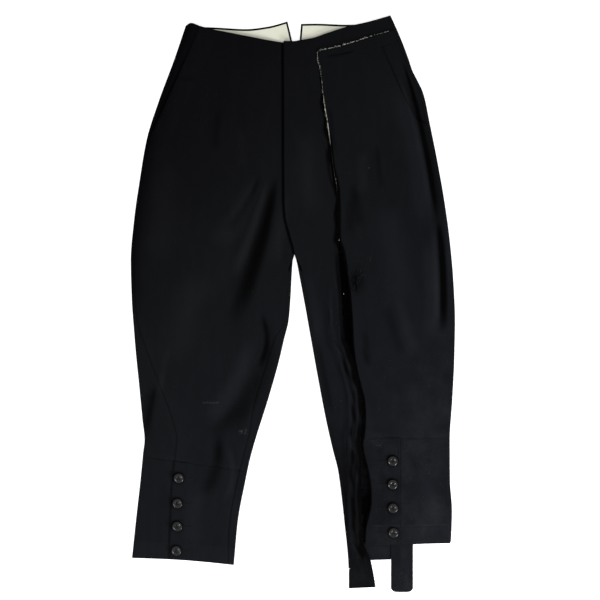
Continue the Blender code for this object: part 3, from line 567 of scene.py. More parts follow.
def notch(y, top):
    """Centre back seam, and above it one edge of the notch that ends at a top given as y, x."""
    foot, head = CENTRE_BACK
    centre = foot + (head - foot) * np.clip((y - CROTCH) / (BACK_NOTCH - CROTCH), 0, 1)
    return centre + (top[1] - head) * np.clip((y - BACK_NOTCH) / (top[0] - BACK_NOTCH), 0, 1)


def left_seam(y):
    return left_outer(y) - SEAM_INSET


def crotch_inset(y, seam_distance):
    return seam_distance * ease(CROTCH - y, -1, 24)


def front_right_start(y):
    return np.where(y > POCKET_RIGHT[-1][0], np.maximum(right_seam(y), pocket_right(y)), right_seam(y))


def front_right_end(y):
    above = fly_edge(y) + FLY_UNDERLAP * np.clip((y - 98) / 50, 0, 1)
    below = right_inner(y) - crotch_inset(y, right_inseam(y))
    return np.where(y > CROTCH, above, below)


def front_left_start(y):
    below = left_inner(y) + crotch_inset(y, SEAM_INSET)
    strip = 97.4 - 5.1 * ease(-y, 432, 438)
    return np.where(y > CROTCH, fly_edge(y), np.where(y < -432, strip, below))


def front_left_outer_end(y):
    seam = left_seam(y)
    low, high = POCKET_LEFT_ENDS
    share = np.minimum(ease(y, low, POCKET_LEFT[-1][0]), ease(-y, -high, -POCKET_LEFT[0][0]))
    return seam + (pocket_left(y) - seam) * share


def pocket_side_right_end(y):
    return np.maximum(pocket_right(y), right_seam(y)) + POCKET_UNDERLAP


def pocket_side_left_start(y):
    return pocket_left(y) - POCKET_UNDERLAP


def right_cuff_end(y):
    return right_inner(y) - right_inseam(y)


# Building shells

def add_object(name, data):
    thing = bpy.data.objects.new(name, data)
    bpy.context.scene.collection.objects.link(thing)
    return thing


def new_mesh(name, points, faces):
    mesh = bpy.data.meshes.new(name)
    mesh.from_pydata(points, [], faces)
    mesh.update()
    return mesh


def finish_piece(piece, slot, nodes, *materials):
    for material in materials:
        piece.data.materials.append(material)
    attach(piece, "root")
    if nodes:
        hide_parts(*nodes)


def grid_mesh(name, outside, inside, kept=None):
    """A closed wall between two grids of points, rows by columns by 3, of the cells that are kept."""
    rows, columns = outside.shape[:2]
    if kept is None:
        kept = np.ones((rows - 1, columns - 1), dtype=bool)
    number = np.arange(rows * columns).reshape(rows, columns)
    a, b = number[:-1, :-1], number[:-1, 1:]
    c, d = number[1:, 1:], number[1:, :-1]
    cells = np.stack([a, b, c, d], axis=-1)[kept]
    quads = [cells, cells[:, ::-1] + rows * columns]
    padded = np.zeros((rows + 1, columns + 1), dtype=bool)
    padded[1:-1, 1:-1] = kept
    for dr, dc, first, second in ((-1, 0, a, b), (0, 1, b, c), (1, 0, c, d), (0, -1, d, a)):
        beyond = padded[1 + dr:rows + dr, 1 + dc:columns + dc]
        p, q = first[kept & ~beyond], second[kept & ~beyond]
        quads.append(np.stack([q, p, p + rows * columns, q + rows * columns], axis=-1))
    faces = np.concatenate(quads)
    points = np.concatenate([outside.reshape(-1, 3), inside.reshape(-1, 3)]) * MM
    used = np.unique(faces)
    order = np.full(len(points), -1)
    order[used] = np.arange(len(used))
    mesh = new_mesh(name, points[used].tolist(), order[faces].tolist())
    mesh.shade_smooth()
    mesh.set_sharp_from_angle(angle=math.radians(45))
    # Painted shade per point: dark in folds and painted shadows, light on ridges and along a worn hem line.
    painted_shade_and_wear = mesh.attributes.new("painted_shade_and_wear", "FLOAT", "POINT")
    painted_shade_and_wear.data.foreach_set("value", np.tile(painted_shade_and_wear_of(outside).reshape(-1), 2)[used])
    piece = add_object(name, mesh)
    piece["cut"] = cut_size(outside, kept)
    piece["inner_faces"] = [len(cells), 2 * len(cells)]
    return piece


def painted_shade_and_wear_of(outside):
    """How light the cloth looks as painted shade and light: 0 deep in a fold or a painted shadow, 1 on a
    ridge. The underside has the middle value.
    """
    x, y, z = outside[..., 0], outside[..., 1], outside[..., 2]
    fold = 0.55 * soft_folds(x, y) + 0.85 * creases(x, y)
    fold = fold + 0.6 * seam_relief(x, y) - 0.3 * torn_crumples(x, y)
    fold = np.where(fold > 0, 0.5 * fold, fold)
    shadow = slash_shadow(x, y)
    # Painted shadows under the fly's lap edge and along the pocket openings.
    shadow = shadow + groove(x - fly_edge(y) + 1.5, 1.7) * ease(y, 70, 90) * ease(-y, -436, -420)
    shadow = shadow + 0.8 * groove(x - pocket_right(y) + 1.2, 1.3) * ease(y, 276, 300) * ease(-y, -440, -350)
    shadow = shadow + 0.16 * groove(x - pocket_left(y) - 1.2, 1.5) * ease(y, 300, 320) * ease(-y, -418, -385)
    shadow = SHADOW * shadow
    # Painted shade where the right leg's cloth turns over its outer fold, on its upper part.
    shadow = shadow + 0.85 * groove(x - right_outer(y), 16) * ease(y, -60, 60)
    # Painted shade on the left cuff's front, between the slash and the placket.
    shadow = shadow + 0.22 * (x > slash_edge(y)) * (x < LEFT_PLACKET) * ease(-y, 216, 236)
    worn = 0.9 * groove(y - left_hem(x) - HEM_TURN - 0.6, 0.9) * (x > 128) * (0.6 + 0.4 * np.sin(x / 4.3))
    upper = np.maximum(ease(z, 2.2, 3.2), ease(-y, 430, 438) * (x < 140))
    return 0.5 + 0.5 * upper * np.tanh((fold - shadow + worn) / 1.25)


def slash_shadow(x, y):
    """How dark painted shade makes the cloth near the slash's raw edge, where the outer part shades the inner
    one, in the torn zone and round the buttons.
    """
    into = slash_edge(y) - x
    width = np.interp(y, *zip(*SLASH_SHADE)) * (1 + 0.25 * np.sin(y / 7.3) + 0.2 * np.sin(y / 17 + 1))
    over = np.interp(y, [40, 80, 190, 262, 300], [1.2, 4.2, 4.8, 3.2, 1.2])
    edge = ease(-into, -width, -0.45 * width) * ease(into, -over, 1.4 - over)
    edge = edge * ease(-y, -420, -412) * ease(y, -426, -398)
    # Painted shade in broken streaks among the crumples beside the torn edge.
    torn = torn_edge(y) - x
    streak = 0.5 + 0.5 * np.sin(torn / 1.9 + 0.8 * np.sin(y / 33) + 0.5 * np.sin(y / 8.3))
    ragged = np.clip(0.55 + 0.5 * np.sin(y / 13 + 0.21 * torn) + 0.4 * np.sin(y / 5.9 - 0.4 * torn), 0, 1.2)
    crumple_shade = streak * ragged * ease(torn, -1, 2) * ease(-torn, -26, -14)
    crumple_shade = crumple_shade * ease(-y, 40, 75) * ease(y, -452, -380)
    # A speckled dark patch at the torn spot, painted as shade.
    speckled = 0.55 + 0.45 * np.sin(x / 0.9 + 2 * np.sin(y / 1.9))
    spot = groove(np.hypot(x - 105, (y - 38) / 1.6), 10.5) * speckled
    # A slight painted shade over the inner part's strip down the leg.
    under = 0.26 * ease(-y, 140, 300) * (x < np.maximum(slash_edge(y), torn_edge(y))) * (x > 40)
    # A painted shade line along a crease 8.5 mm in from the raw edge.
    beside = 0.5 * groove(into - 8.5, 1.6) * ease(y, 186, 214) * ease(-y, -268, -240)
    return edge + 0.5 * crumple_shade + 0.8 * spot + under + beside + 0.5 * button_shadow(x, y)


def button_shadow(x, y):
    shadow = 0
    for button_x, button_y in RIGHT_BUTTONS + LEFT_BUTTONS:
        shadow = shadow + groove(np.hypot(x - button_x + 0.8, y - button_y - 0.9) - 7.6, 2.0)
    return shadow


def cut_size(outside, kept):
    """Width, length and area in metres of the flat piece that the cloth was cut to."""
    across = np.linalg.norm(np.diff(outside, axis=1), axis=2)
    along = np.linalg.norm(np.diff(outside, axis=0), axis=2)
    width = (across[:-1] * kept).sum(axis=1).max()
    length = (along[:, :-1] * kept).sum(axis=0).max()
    first = outside[1:, 1:] - outside[:-1, :-1]
    second = outside[1:, :-1] - outside[:-1, 1:]
    cells = np.linalg.norm(np.cross(first, second), axis=2) / 2
    return [width * MM, length * MM, (cells * kept).sum() * MM * MM]


def row_counts(lines, step=ROW_STEP):
    """Rows between each two of the guiding lines."""
    return [max(1, round(float(upper(0.0) - lower(0.0)) / step)) for lower, upper in zip(lines, lines[1:])]


def dense_rows(lines, counts):
    """Rows of y at x, evenly spaced between a few guiding lines."""
    rows = []
    for lower, upper, count in zip(lines, lines[1:], counts):
        for k in range(count):
            rows.append(lambda x, lo=lower, up=upper, t=k / count: lo(x) + (up(x) - lo(x)) * t)
    rows.append(lines[-1])
    return rows


def sheet_points(place, parts, rows, start_x=0.0):
    """Grid of x and y where place gives x at y for each part across."""
    xs = np.empty((len(rows), len(parts)))
    ys = np.empty_like(xs)
    for row, line in enumerate(rows):
        y = line(np.full(len(parts), start_x))
        for _ in range(SOLVING_STEPS):
            x = place(y, parts)
            y = line(x)
        xs[row] = x
        ys[row] = y
    return xs, ys


def sheet_piece(name, start, end, lines, width, height, thick=CLOTH, step=COLUMN_STEP, row_step=ROW_STEP):
    """A piece that lies over the ground, between its sides start and end, under guiding row lines."""
    parts = np.linspace(0, 1, max(3, round(width / step)))

    def place(y, parts):
        return start(y) + (end(y) - start(y)) * parts

    xs, ys = sheet_points(place, parts, dense_rows(lines, row_counts(lines, row_step)))
    outside = np.stack([xs, ys, height(xs, ys)], axis=-1)
    inside = outside - np.array([0, 0, thick])
    return grid_mesh(name, outside, inside)


def bend(turn, length, distance):
    """Place, height and slope, at a distance along it, of a wall that turns over a length and runs on."""
    turn = np.maximum(turn, 1e-4)
    rate = turn / length
    angle = rate * np.minimum(distance, length)
    beyond = np.maximum(distance - length, 0)
    out = np.sin(angle) / rate + beyond * np.cos(turn)
    up = (1 - np.cos(angle)) / rate + beyond * np.sin(turn)
    return out, up, angle


def bend_reach(turn, length, run):
    """How far out such a wall reaches."""
    part = bend(turn, length, length + run)[0]
    return np.where(turn >= math.pi / 2, length / np.maximum(turn, 1e-4), part)


def full_curl(fold_x, seam_distance):
    """Fold, turn, length of bend and straight run of an edge that curls right over."""
    radius = LAYER_HEIGHT / 2
    half_turn = math.pi + 0 * fold_x
    return fold_x, half_turn, half_turn * radius, seam_distance - radius


def inner_curl(y, fold_x, centre_x, seam_distance):
    """A back's inner side: flat at the centre back, and curled round the inner fold below the crotch."""
    below = CROTCH - y
    full = full_curl(fold_x, seam_distance)
    wrapped = below >= CROTCH_CURL[-1][0]
    part = (np.radians(curl_turn(below)), curl_length(below), curl_run(below))
    curl = [np.where(wrapped, whole, some) for whole, some in zip(full[1:], part)]
    return np.where(below < 0, centre_x, fold_x), *curl


def back_right_outer(y):
    return full_curl(right_outer(y), right_side_seam(y))


def back_right_inner(y):
    return inner_curl(y, right_inner(y), notch(y, NOTCH_RIGHT_TOP), right_inseam(y))


def back_left_outer(y):
    return full_curl(left_outer(y), SEAM_INSET)


def back_left_inner(y):
    return inner_curl(y, left_inner(y), notch(y, NOTCH_LEFT_TOP), SEAM_INSET)


def cuff_right_outer(y):
    return full_curl(right_outer(y), right_side_seam(y) + CUFF_UNDERLAP)


def cuff_left_outer(y):
    return full_curl(left_outer(y), left_outer(y) - LEFT_PLACKET + CUFF_UNDERLAP)


def back_points(stretch, step, y, outer, inner, side):
    """Outside points and inward directions of one column of a back; side is +1 on the left leg."""
    is_outer = stretch.startswith("outer")
    fold_x, turn, length, run = (outer if is_outer else inner)(y)
    if stretch == "flat":
        first_x, *first_curl = outer(y)
        first = first_x - side * bend_reach(*first_curl)
        last = fold_x + side * bend_reach(turn, length, run)
        return first + (last - first) * step, 0 * y, 0 * y, 0 * y + 1
    away = side if is_outer else -side
    distance = length * step if stretch.endswith("bend") else length + run * step
    out, up, angle = bend(turn, length, distance)
    x = fold_x - away * (bend_reach(turn, length, run) - out)
    return x, up, -away * np.sin(angle), np.cos(angle)


def back_piece(name, outer, inner, lines, side, lap, runs, front_lines=None):
    """A back, flat on the ground, that curls round a fold at each side and onto the front."""
    outer_run, inner_run = runs
    columns = []
    for stretch, first, last, count in (
        ("outer run", 1, 0, outer_run),
        ("outer bend", 1, 0, BEND_COLUMNS),
        ("flat", 0, 1, FLAT_COLUMNS),
    ):
        spots = np.linspace(first, last, count + 1)
        columns += [(stretch, step) for step in (spots if stretch == "flat" else spots[:-1])]
    for stretch, count in (("inner bend", BEND_COLUMNS), ("inner run", inner_run)):
        columns += [(stretch, step) for step in np.linspace(0, 1, count + 1)[1:]]
    counts = row_counts(lines)
    guides = dense_rows(lines, counts)
    front_guides = dense_rows(front_lines or lines, counts)
    outside = np.empty((len(guides), len(columns), 3))
    inside = np.empty_like(outside)
    for column, (stretch, step) in enumerate(columns):
        rows = front_guides if stretch.startswith("outer") else guides
        y = np.array([float(line(0.0)) for line in rows])
        for _ in range(SOLVING_STEPS):
            x, z, inward_x, inward_z = back_points(stretch, step, y, outer, inner, side)
            y = np.array([float(line(at)) for line, at in zip(rows, x)])
        share = ease(z / LAYER_HEIGHT, 0.35, 1.0)
        z = z + share * (top_of(x, y, lap(x, y)) - LAYER_HEIGHT)
        outside[:, column] = np.stack([x, y, z], axis=-1)
        inside[:, column] = np.stack([x + CLOTH * inward_x, y, z + CLOTH * inward_z], axis=-1)
    return grid_mesh(name, outside, inside)


def soft_edges(piece, width):
    """Rounds the cut or folded edges of a cloth wall."""
    rounding = piece.modifiers.new("soft edges", "BEVEL")
    rounding.limit_method = "ANGLE"
    rounding.angle_limit = math.radians(60)
    rounding.width = width * MM
    rounding.segments = 2


# Materials

def mixed(first, second, share):
    return tuple(a + (b - a) * share for a, b in zip(first, second))


class Shader:
    """A node tree that is filled by short calls."""

    def __init__(self, name):
        self.material = bpy.data.materials.new(name)
        self.material.use_nodes = True
        self.nodes = self.material.node_tree.nodes
        self.links = self.material.node_tree.links
        self.surface = self.nodes["Principled BSDF"]
        self.place = self.nodes.new("ShaderNodeTexCoord").outputs["Object"]

    def feed(self, socket, value):
        """Links another node's output to a socket, or sets its value; a colour gets its opacity."""
        if isinstance(value, bpy.types.NodeSocket):
            self.links.new(value, socket)
        elif socket.type == "RGBA":
            socket.default_value = (*value, 1.0)
        else:
            socket.default_value = value

    def add(self, kind, inputs=None, **settings):
        node = self.nodes.new(kind)
        for key, value in settings.items():
            setattr(node, key, value)
        for key, value in (inputs or {}).items():
            self.feed(node.inputs[key], value)
        return node

    def noise(self, scale, detail=3.0, roughness=0.55, vector=None, distortion=0.0):
        inputs = {"Vector": vector or self.place, "Scale": scale, "Detail": detail, "Roughness": roughness}
        inputs["Distortion"] = distortion
        return self.add("ShaderNodeTexNoise", inputs).outputs["Fac"]

    def turned(self, angles, scale=(1, 1, 1)):
        rotation = tuple(math.radians(angle) for angle in angles)
        inputs = {"Vector": self.place, "Rotation": rotation, "Scale": scale}
        return self.add("ShaderNodeMapping", inputs).outputs[0]

    def waves(self, scale, vector, distortion=0.0):
        inputs = {"Vector": vector, "Scale": scale, "Distortion": distortion}
        inputs.update({"Detail": 1.0, "Detail Scale": 2.0})
        return self.add("ShaderNodeTexWave", inputs, wave_type="BANDS", bands_direction="X").outputs["Fac"]

    def painted_light_gradient(self):
        """Painted light gradient: 0 at the waist on the wearer's right and 1 at the hem on the left, in the
        object's own place.
        """
        parts = self.add("ShaderNodeSeparateXYZ", {"Vector": self.place}).outputs
        return self.plus(self.plus(self.times(parts["X"], 1.1), self.times(parts["Y"], -0.95)), 0.5)

    def ramp(self, value, stops):
        node = self.add("ShaderNodeValToRGB", {"Fac": value})
        elements = node.color_ramp.elements
        while len(elements) < len(stops):
            elements.new(0.5)
        for element, (position, colour) in zip(elements, stops):
            element.position = position
            element.color = (*colour, 1.0)
        return node.outputs["Color"]

    def times(self, first, second):
        return self.add("ShaderNodeMath", {0: first, 1: second}, operation="MULTIPLY").outputs[0]

    def plus(self, first, second):
        return self.add("ShaderNodeMath", {0: first, 1: second}, operation="ADD").outputs[0]

    def mix(self, share, first, second, blend_type="MIX"):
        inputs = {0: share, 6: first, 7: second}
        return self.add("ShaderNodeMix", inputs, data_type="RGBA", blend_type=blend_type).outputs[2]

    def bump(self, height, distance, strength=1.0, under=None):
        inputs = {"Height": height, "Distance": distance * MM, "Strength": strength}
        if under is not None:
            inputs["Normal"] = under
        return self.add("ShaderNodeBump", inputs).outputs["Normal"]

    def finish(self, **inputs):
        for key, value in inputs.items():
            self.feed(self.surface.inputs[key.replace("_", " ")], value)
        return self.material


# How much dust lies on the cloth where it is dustiest and lightest in the painted shade
DUST = 0.36


def wool_material(name, dark, light, shine):
    """Black wool gabardine: fine steep twill, slight clouding, lint, dust, painted shade per point, and a
    painted light gradient lighter towards the left hem.
    """
    shader = Shader(name)
    twill = shader.waves(420.0, shader.turned((0, 0, 28)), 0.6)
    cross = shader.waves(330.0, shader.turned((0, 0, 90)), 0.8)
    fibre = shader.noise(2600.0, 2.0)
    cloud = shader.noise(7.0, 4.0, 0.6)
    streak = shader.noise(24.0, 4.0, 0.6, shader.turned((0, 0, 6), (3.4, 0.7, 1.0)))
    # Painted shade from the mesh, mixed with random clouding and streaks into the cloth's tone.
    painted_shade_and_wear = shader.add("ShaderNodeAttribute", attribute_name="painted_shade_and_wear").outputs["Fac"]
    shade = shader.times(painted_shade_and_wear, 0.76)
    shade = shader.plus(shade, shader.times(cloud, 0.14))
    shade = shader.plus(shade, shader.times(streak, 0.10))
    colour = shader.ramp(shade, [(0.16, dark), (0.5, mixed(dark, light, 0.42)), (0.84, light)])
    # Painted light gradient: darker at the waist on the wearer's right, lighter towards the hem on the left.
    falloff = shader.painted_light_gradient()
    painted_light_stops = [(0.02, (0.74, 0.71, 0.80)), (0.32, (1.24, 1.27, 1.24)), (1.0, (1.34, 1.37, 1.50))]
    painted_lighting = shader.ramp(falloff, painted_light_stops)
    colour = shader.mix(1.0, colour, painted_lighting, "MULTIPLY")
    thread = shader.ramp(twill, [(0.2, (0.78, 0.78, 0.78)), (0.9, (1.12, 1.12, 1.12))])
    colour = shader.mix(1.0, colour, thread, "MULTIPLY")
    lint = shader.ramp(shader.noise(420.0, 1.0, 0.4), [(0.79, (0, 0, 0)), (0.83, (1, 1, 1))])
    colour = shader.mix(shader.times(lint, 0.3), colour, (0.05, 0.05, 0.052))
    # Dust, mostly towards the hem, scaled by the painted shade so that painted-shade folds hold less of it.
    dust_and_shade = shader.times(shader.noise(46.0, 7.0, 0.72), shader.noise(11.0, 3.0, 0.6))
    dust_and_shade = shader.ramp(dust_and_shade, [(0.20, (0, 0, 0)), (0.42, (0.9, 0.9, 0.9))])
    dusted = shader.ramp(falloff, [(0.68, (0, 0, 0)), (1.0, (1, 1, 1))])
    dust_and_shade = shader.times(shader.times(dust_and_shade, dusted), shader.times(painted_shade_and_wear, DUST))
    colour = shader.mix(dust_and_shade, colour, (0.040, 0.042, 0.046))
    weave = shader.plus(shader.times(twill, 0.7), shader.times(cross, 0.3))
    normal = shader.bump(weave, 0.16, 0.7)
    normal = shader.bump(fibre, 0.10, 0.5, normal)
    crumple = shader.noise(60.0, 4.0, 0.6, shader.turned((0, 0, 8), (1.6, 0.7, 1.0)))
    normal = shader.bump(crumple, 0.8, 0.5, normal)
    roughness = shader.plus(0.66, shader.times(fibre, 0.2))
    return shader.finish(
        Base_Color=colour, Roughness=roughness, Normal=normal,
        Sheen_Weight=0.2 * shine, Sheen_Roughness=0.4, Specular_IOR_Level=shine,
    )


def cotton_material():
    """Cream cotton facing: plain weave, slightly yellowed."""
    shader = Shader("cream_cotton")
    warp = shader.waves(520.0, shader.turned((0, 0, 0)), 0.4)
    weft = shader.waves(520.0, shader.turned((0, 0, 90)), 0.4)
    weave = shader.times(warp, weft)
    cloud = shader.noise(22.0, 4.0)
    colour = shader.ramp(cloud, [(0.3, (0.79, 0.79, 0.645)), (0.7, (0.865, 0.865, 0.74))])
    threads = shader.ramp(weave, [(0.0, (0.66, 0.65, 0.53)), (1.0, (0.95, 0.94, 0.84))])
    colour = shader.mix(0.12, colour, threads)
    normal = shader.bump(weave, 0.10, 0.6)
    normal = shader.bump(shader.noise(80.0, 3.0), 0.5, 0.5, normal)
    return shader.finish(
        Base_Color=colour, Roughness=0.9, Normal=normal, Sheen_Weight=0.08, Specular_IOR_Level=0.25,
    )


def canvas_material():
    """Frayed cream canvas and thread."""
    shader = Shader("cream_canvas")
    cloud = shader.noise(900.0, 3.0)
    colour = shader.ramp(cloud, [(0.3, (0.48, 0.45, 0.37)), (0.7, (0.80, 0.77, 0.66))])
    normal = shader.bump(cloud, 0.2, 0.8)
    return shader.finish(Base_Color=colour, Roughness=0.95, Normal=normal, Specular_IOR_Level=0.2)


def thread_material(name, colour_dark, colour_light, shine=0.12):
    """Spun sewing thread with a slight sheen."""
    shader = Shader(name)
    cloud = shader.noise(1500.0, 2.0)
    colour = shader.ramp(cloud, [(0.3, colour_dark), (0.7, colour_light)])
    normal = shader.bump(cloud, 0.1, 0.6)
    return shader.finish(
        Base_Color=colour, Roughness=0.6, Normal=normal, Sheen_Weight=0.3 * shine, Specular_IOR_Level=shine,
    )


def horn_material():
    """Dark polished horn with faint streaks and fine scratches."""
    shader = Shader("dark_horn")
    streak = shader.noise(160.0, 4.0, 0.6, shader.turned((0, 0, 35), (1.0, 3.5, 1.0)), 1.2)
    colour = shader.ramp(streak, [(0.35, (0.0030, 0.0030, 0.0032)), (0.75, (0.0100, 0.0098, 0.0098))])
    scratch = shader.noise(900.0, 3.0, 0.6, shader.turned((0, 0, 20), (1.0, 0.12, 1.0)))
    roughness = shader.plus(0.12, shader.times(scratch, 0.18))
    normal = shader.bump(scratch, 0.03, 0.4)
    return shader.finish(
        Base_Color=colour, Roughness=roughness, Normal=normal,
        Coat_Weight=0.5, Coat_Roughness=0.24, Specular_IOR_Level=0.10,
    )


wool = wool_material("black_wool_twill", (0.0004, 0.0004, 0.0005), (0.0108, 0.0115, 0.0136), 0.02)
# A darker copy of the wool without shine, as painted shade on inner faces seen through the gaps.
wool_painted_shade_inside = wool_material("black_wool_painted_shade_inside", (0.0003, 0.0003, 0.0004), (0.0007, 0.0007, 0.0009), 0.0)
cotton = cotton_material()
canvas = canvas_material()
horn = horn_material()
black_thread = thread_material("black_thread", (0.0030, 0.0031, 0.0037), (0.0100, 0.0106, 0.0122), 0.02)
# A lighter copy of the black thread for the buttonholes, as painted light matching the painted light gradient
# on the cuffs.
lighter_thread = thread_material("worn_black_thread", (0.0065, 0.0067, 0.0078), (0.0150, 0.0155, 0.0175), 0.02)
lint_grey = thread_material("grey_lint", (0.030, 0.030, 0.033), (0.085, 0.085, 0.090))
cream_thread = thread_material("cream_thread", (0.45, 0.43, 0.36), (0.82, 0.80, 0.72))


# Cloth pieces

def tab_bottom(x):
    away = np.clip(np.abs(x - TAB_CENTRE) / (TAB_WIDTH / 2), 0, 1)
    return TAB_BOTTOM + TAB_CORNER * away ** 6


def add_cloth():
    """Every piece of wool, in the order of the layers, by the name of the solid that it replaces."""
    middle = [level(LEG_ZONE_FROM), level(TOP_ZONE_FROM)]
    right_lines = [right_cuff_seam, *middle, front_right_top]
    left_lines = [left_cuff_seam, *middle, front_left_top]
    right_cuff_lines = [right_hem, right_cuff_seam]
    left_cuff_lines = [left_hem, left_cuff_seam]
    pocket_top = shifted(slash_across, -SLASH_UNDERLAP - LAYER_GAP - 0.2)
    half = TAB_WIDTH / 2
    pieces = [
        back_piece(
            "cloth_back_right", back_right_outer, back_right_inner,
            right_lines[:-1] + [back_right_top], -1, no_lap, (16, 8), right_lines,
        ),
        back_piece(
            "cloth_back_left", back_left_outer, back_left_inner,
            left_lines[:-1] + [back_left_top], 1, no_lap, (3, 3), left_lines,
        ),
        sheet_piece(
            "cloth_front_right", front_right_start, front_right_end, right_lines, 240, front_right_height,
        ),
        sheet_piece(
            "cloth_front_left_outer", slash_edge, front_left_outer_end,
            [left_cuff_seam, level(370), slash_across], 168, front_left_outer_height,
        ),
        front_left_inner_piece(),
        sheet_piece(
            "cloth_pocket_side_right", right_seam, pocket_side_right_end,
            [level(262), level(TOP_ZONE_FROM), front_right_top], 40, pocket_side_height,
        ),
        sheet_piece(
            "cloth_pocket_side_left", pocket_side_left_start, left_seam,
            [level(286), level(400), pocket_top], 46, pocket_side_height,
        ),
        sheet_piece(
            "cloth_cuff_right_front", right_seam, right_cuff_end,
            right_cuff_lines, 112, cuff_right_front_height,
        ),
        back_piece(
            "cloth_cuff_right_back", cuff_right_outer, back_right_inner,
            right_cuff_lines, -1, right_cuff_lap, (22, 4),
        ),
        sheet_piece(
            "cloth_cuff_left_front", slash_edge, level(LEFT_PLACKET),
            left_cuff_lines, 58, cuff_left_front_height,
        ),
        back_piece(
            "cloth_cuff_left_back", cuff_left_outer, back_left_inner,
            [left_back_hem, left_cuff_seam], 1, left_cuff_lap, (30, 3), left_cuff_lines,
        ),
        sheet_piece(
            "cloth_strap_tab", level(TAB_CENTRE - half), level(TAB_CENTRE + half),
            [tab_bottom, level(TAB_TOP)], TAB_WIDTH, tab_height, TAB_CLOTH, 1.5, 2.0,
        ),
    ]
    for piece in pieces:
        soft_edges(piece, EDGE_ROUNDING)
        # Inner faces above the hems take the darker wool copy as painted shade; lower down the turned hems
        # show plain wool.
        first, last = piece["inner_faces"]
        for polygon in piece.data.polygons[first:last]:
            polygon.material_index = 1 if polygon.center.y > HEM_SHOWS_BELOW * MM else 0
        finish_piece(piece, "wool", [piece.name.removeprefix("cloth_")], wool, wool_painted_shade_inside)
    return {piece.name.removeprefix("cloth_"): piece for piece in pieces}


def front_left_inner_piece():
    """The fly side of the left front: a long strip to below the hem, and a band along the waist."""
    under_slash = shifted(slash_across, -SLASH_UNDERLAP)
    lower_lines = [strip_hem, level(-438), level(370), under_slash]
    upper_lines = [under_slash, front_left_top]
    lower = dense_rows(lower_lines, row_counts(lower_lines, INNER_ROW_STEP))
    upper = dense_rows(upper_lines, row_counts(upper_lines, INNER_ROW_STEP))
    rows = lower + upper[1:]
    parts = np.concatenate([np.linspace(0, 1, STRIP_COLUMNS), np.linspace(1, 2, BAND_COLUMNS)[1:]])

    def place(y, parts):
        near = front_left_start(y)
        far = torn_edge(y)
        across = near + (far - near) * parts
        beyond = far + (left_seam(y) - far) * (parts - 1)
        return np.where(parts <= 1, across, beyond)

    xs, ys = sheet_points(place, parts, rows, 60.0)
    outside = np.stack([xs, ys, front_left_inner_height(xs, ys)], axis=-1)
    inside = outside - np.array([0, 0, CLOTH])
    kept = np.ones((len(rows) - 1, len(parts) - 1), dtype=bool)
    kept[:len(lower) - 1, STRIP_COLUMNS - 1:] = False
    return grid_mesh("cloth_front_left_inner", outside, inside, kept)


def add_facings():
    """Facings inside the back waist, a little in from its edge and from the notch."""
    for name, edge, top, side, outer in (
        ("facing_right", back_right_top, NOTCH_RIGHT_TOP, -1, -150.0),
        ("facing_left", back_left_top, NOTCH_LEFT_TOP, 1, 136.0),
    ):
        lines = [shifted(edge, -FACING_DEPTH), shifted(edge, -FACING_RIM)]
        start = lambda y, top=top, side=side: notch(y, top) + side * FACING_RIM
        piece = sheet_piece("cotton_" + name, start, level(outer), lines, 140, facing_height, FACING_CLOTH)
        soft_edges(piece, FACING_ROUNDING)
        finish_piece(piece, "facing", [name], cotton)


# Threads: frays, sewing, lint

def thread_mesh(name, paths, radii, sides=4):
    """Tubes with closed ends along many short paths of points, in one mesh."""
    points = []
    faces = []
    for path, radius in zip(paths, radii):
        path = np.asarray(path, dtype=float)
        runs = np.gradient(path, axis=0)
        runs /= np.linalg.norm(runs, axis=1)[:, None] + 1e-9
        aside = np.cross(runs, (0.13, 0.07, 0.99))
        aside /= np.linalg.norm(aside, axis=1)[:, None] + 1e-9
        above = np.cross(aside, runs)
        first = len(points)
        taper = np.ones(len(path))
        taper[0] = 0.6
        taper[-1] = 0.45
        for place, u, v, share in zip(path, aside, above, taper):
            for k in range(sides):
                angle = 2 * math.pi * k / sides
                offset = radius * share * (math.cos(angle) * u + math.sin(angle) * v)
                points.append(tuple((place + offset) * MM))
        for ring in range(len(path) - 1):
            for k in range(sides):
                low = first + ring * sides
                turn = (k + 1) % sides
                faces.append((low + k, low + turn, low + sides + turn, low + sides + k))
        last = first + (len(path) - 1) * sides
        faces.append(tuple(range(first + sides - 1, first - 1, -1)))
        faces.append(tuple(range(last, last + sides)))
    mesh = new_mesh(name, points, faces)
    mesh.shade_smooth()
    return add_object(name, mesh)


def loose_fibre(draw, start, heading, length, top, fall=0.0, curl=0.9, steps=5):
    """A short curved thread from start, at heights from top down by fall; heading is in degrees."""
    angle = math.radians(heading)
    turn = draw.uniform(-curl, curl) / steps
    x, y = start
    path = []
    for k in range(steps):
        path.append((x, y, max(top - fall * k / (steps - 1), 1.7)))
        angle += turn
        x += length / (steps - 1) * math.cos(angle)
        y += length / (steps - 1) * math.sin(angle)
    return path


def tops(height, places):
    xs, ys = np.array(places, dtype=float).T
    return height(xs, ys)


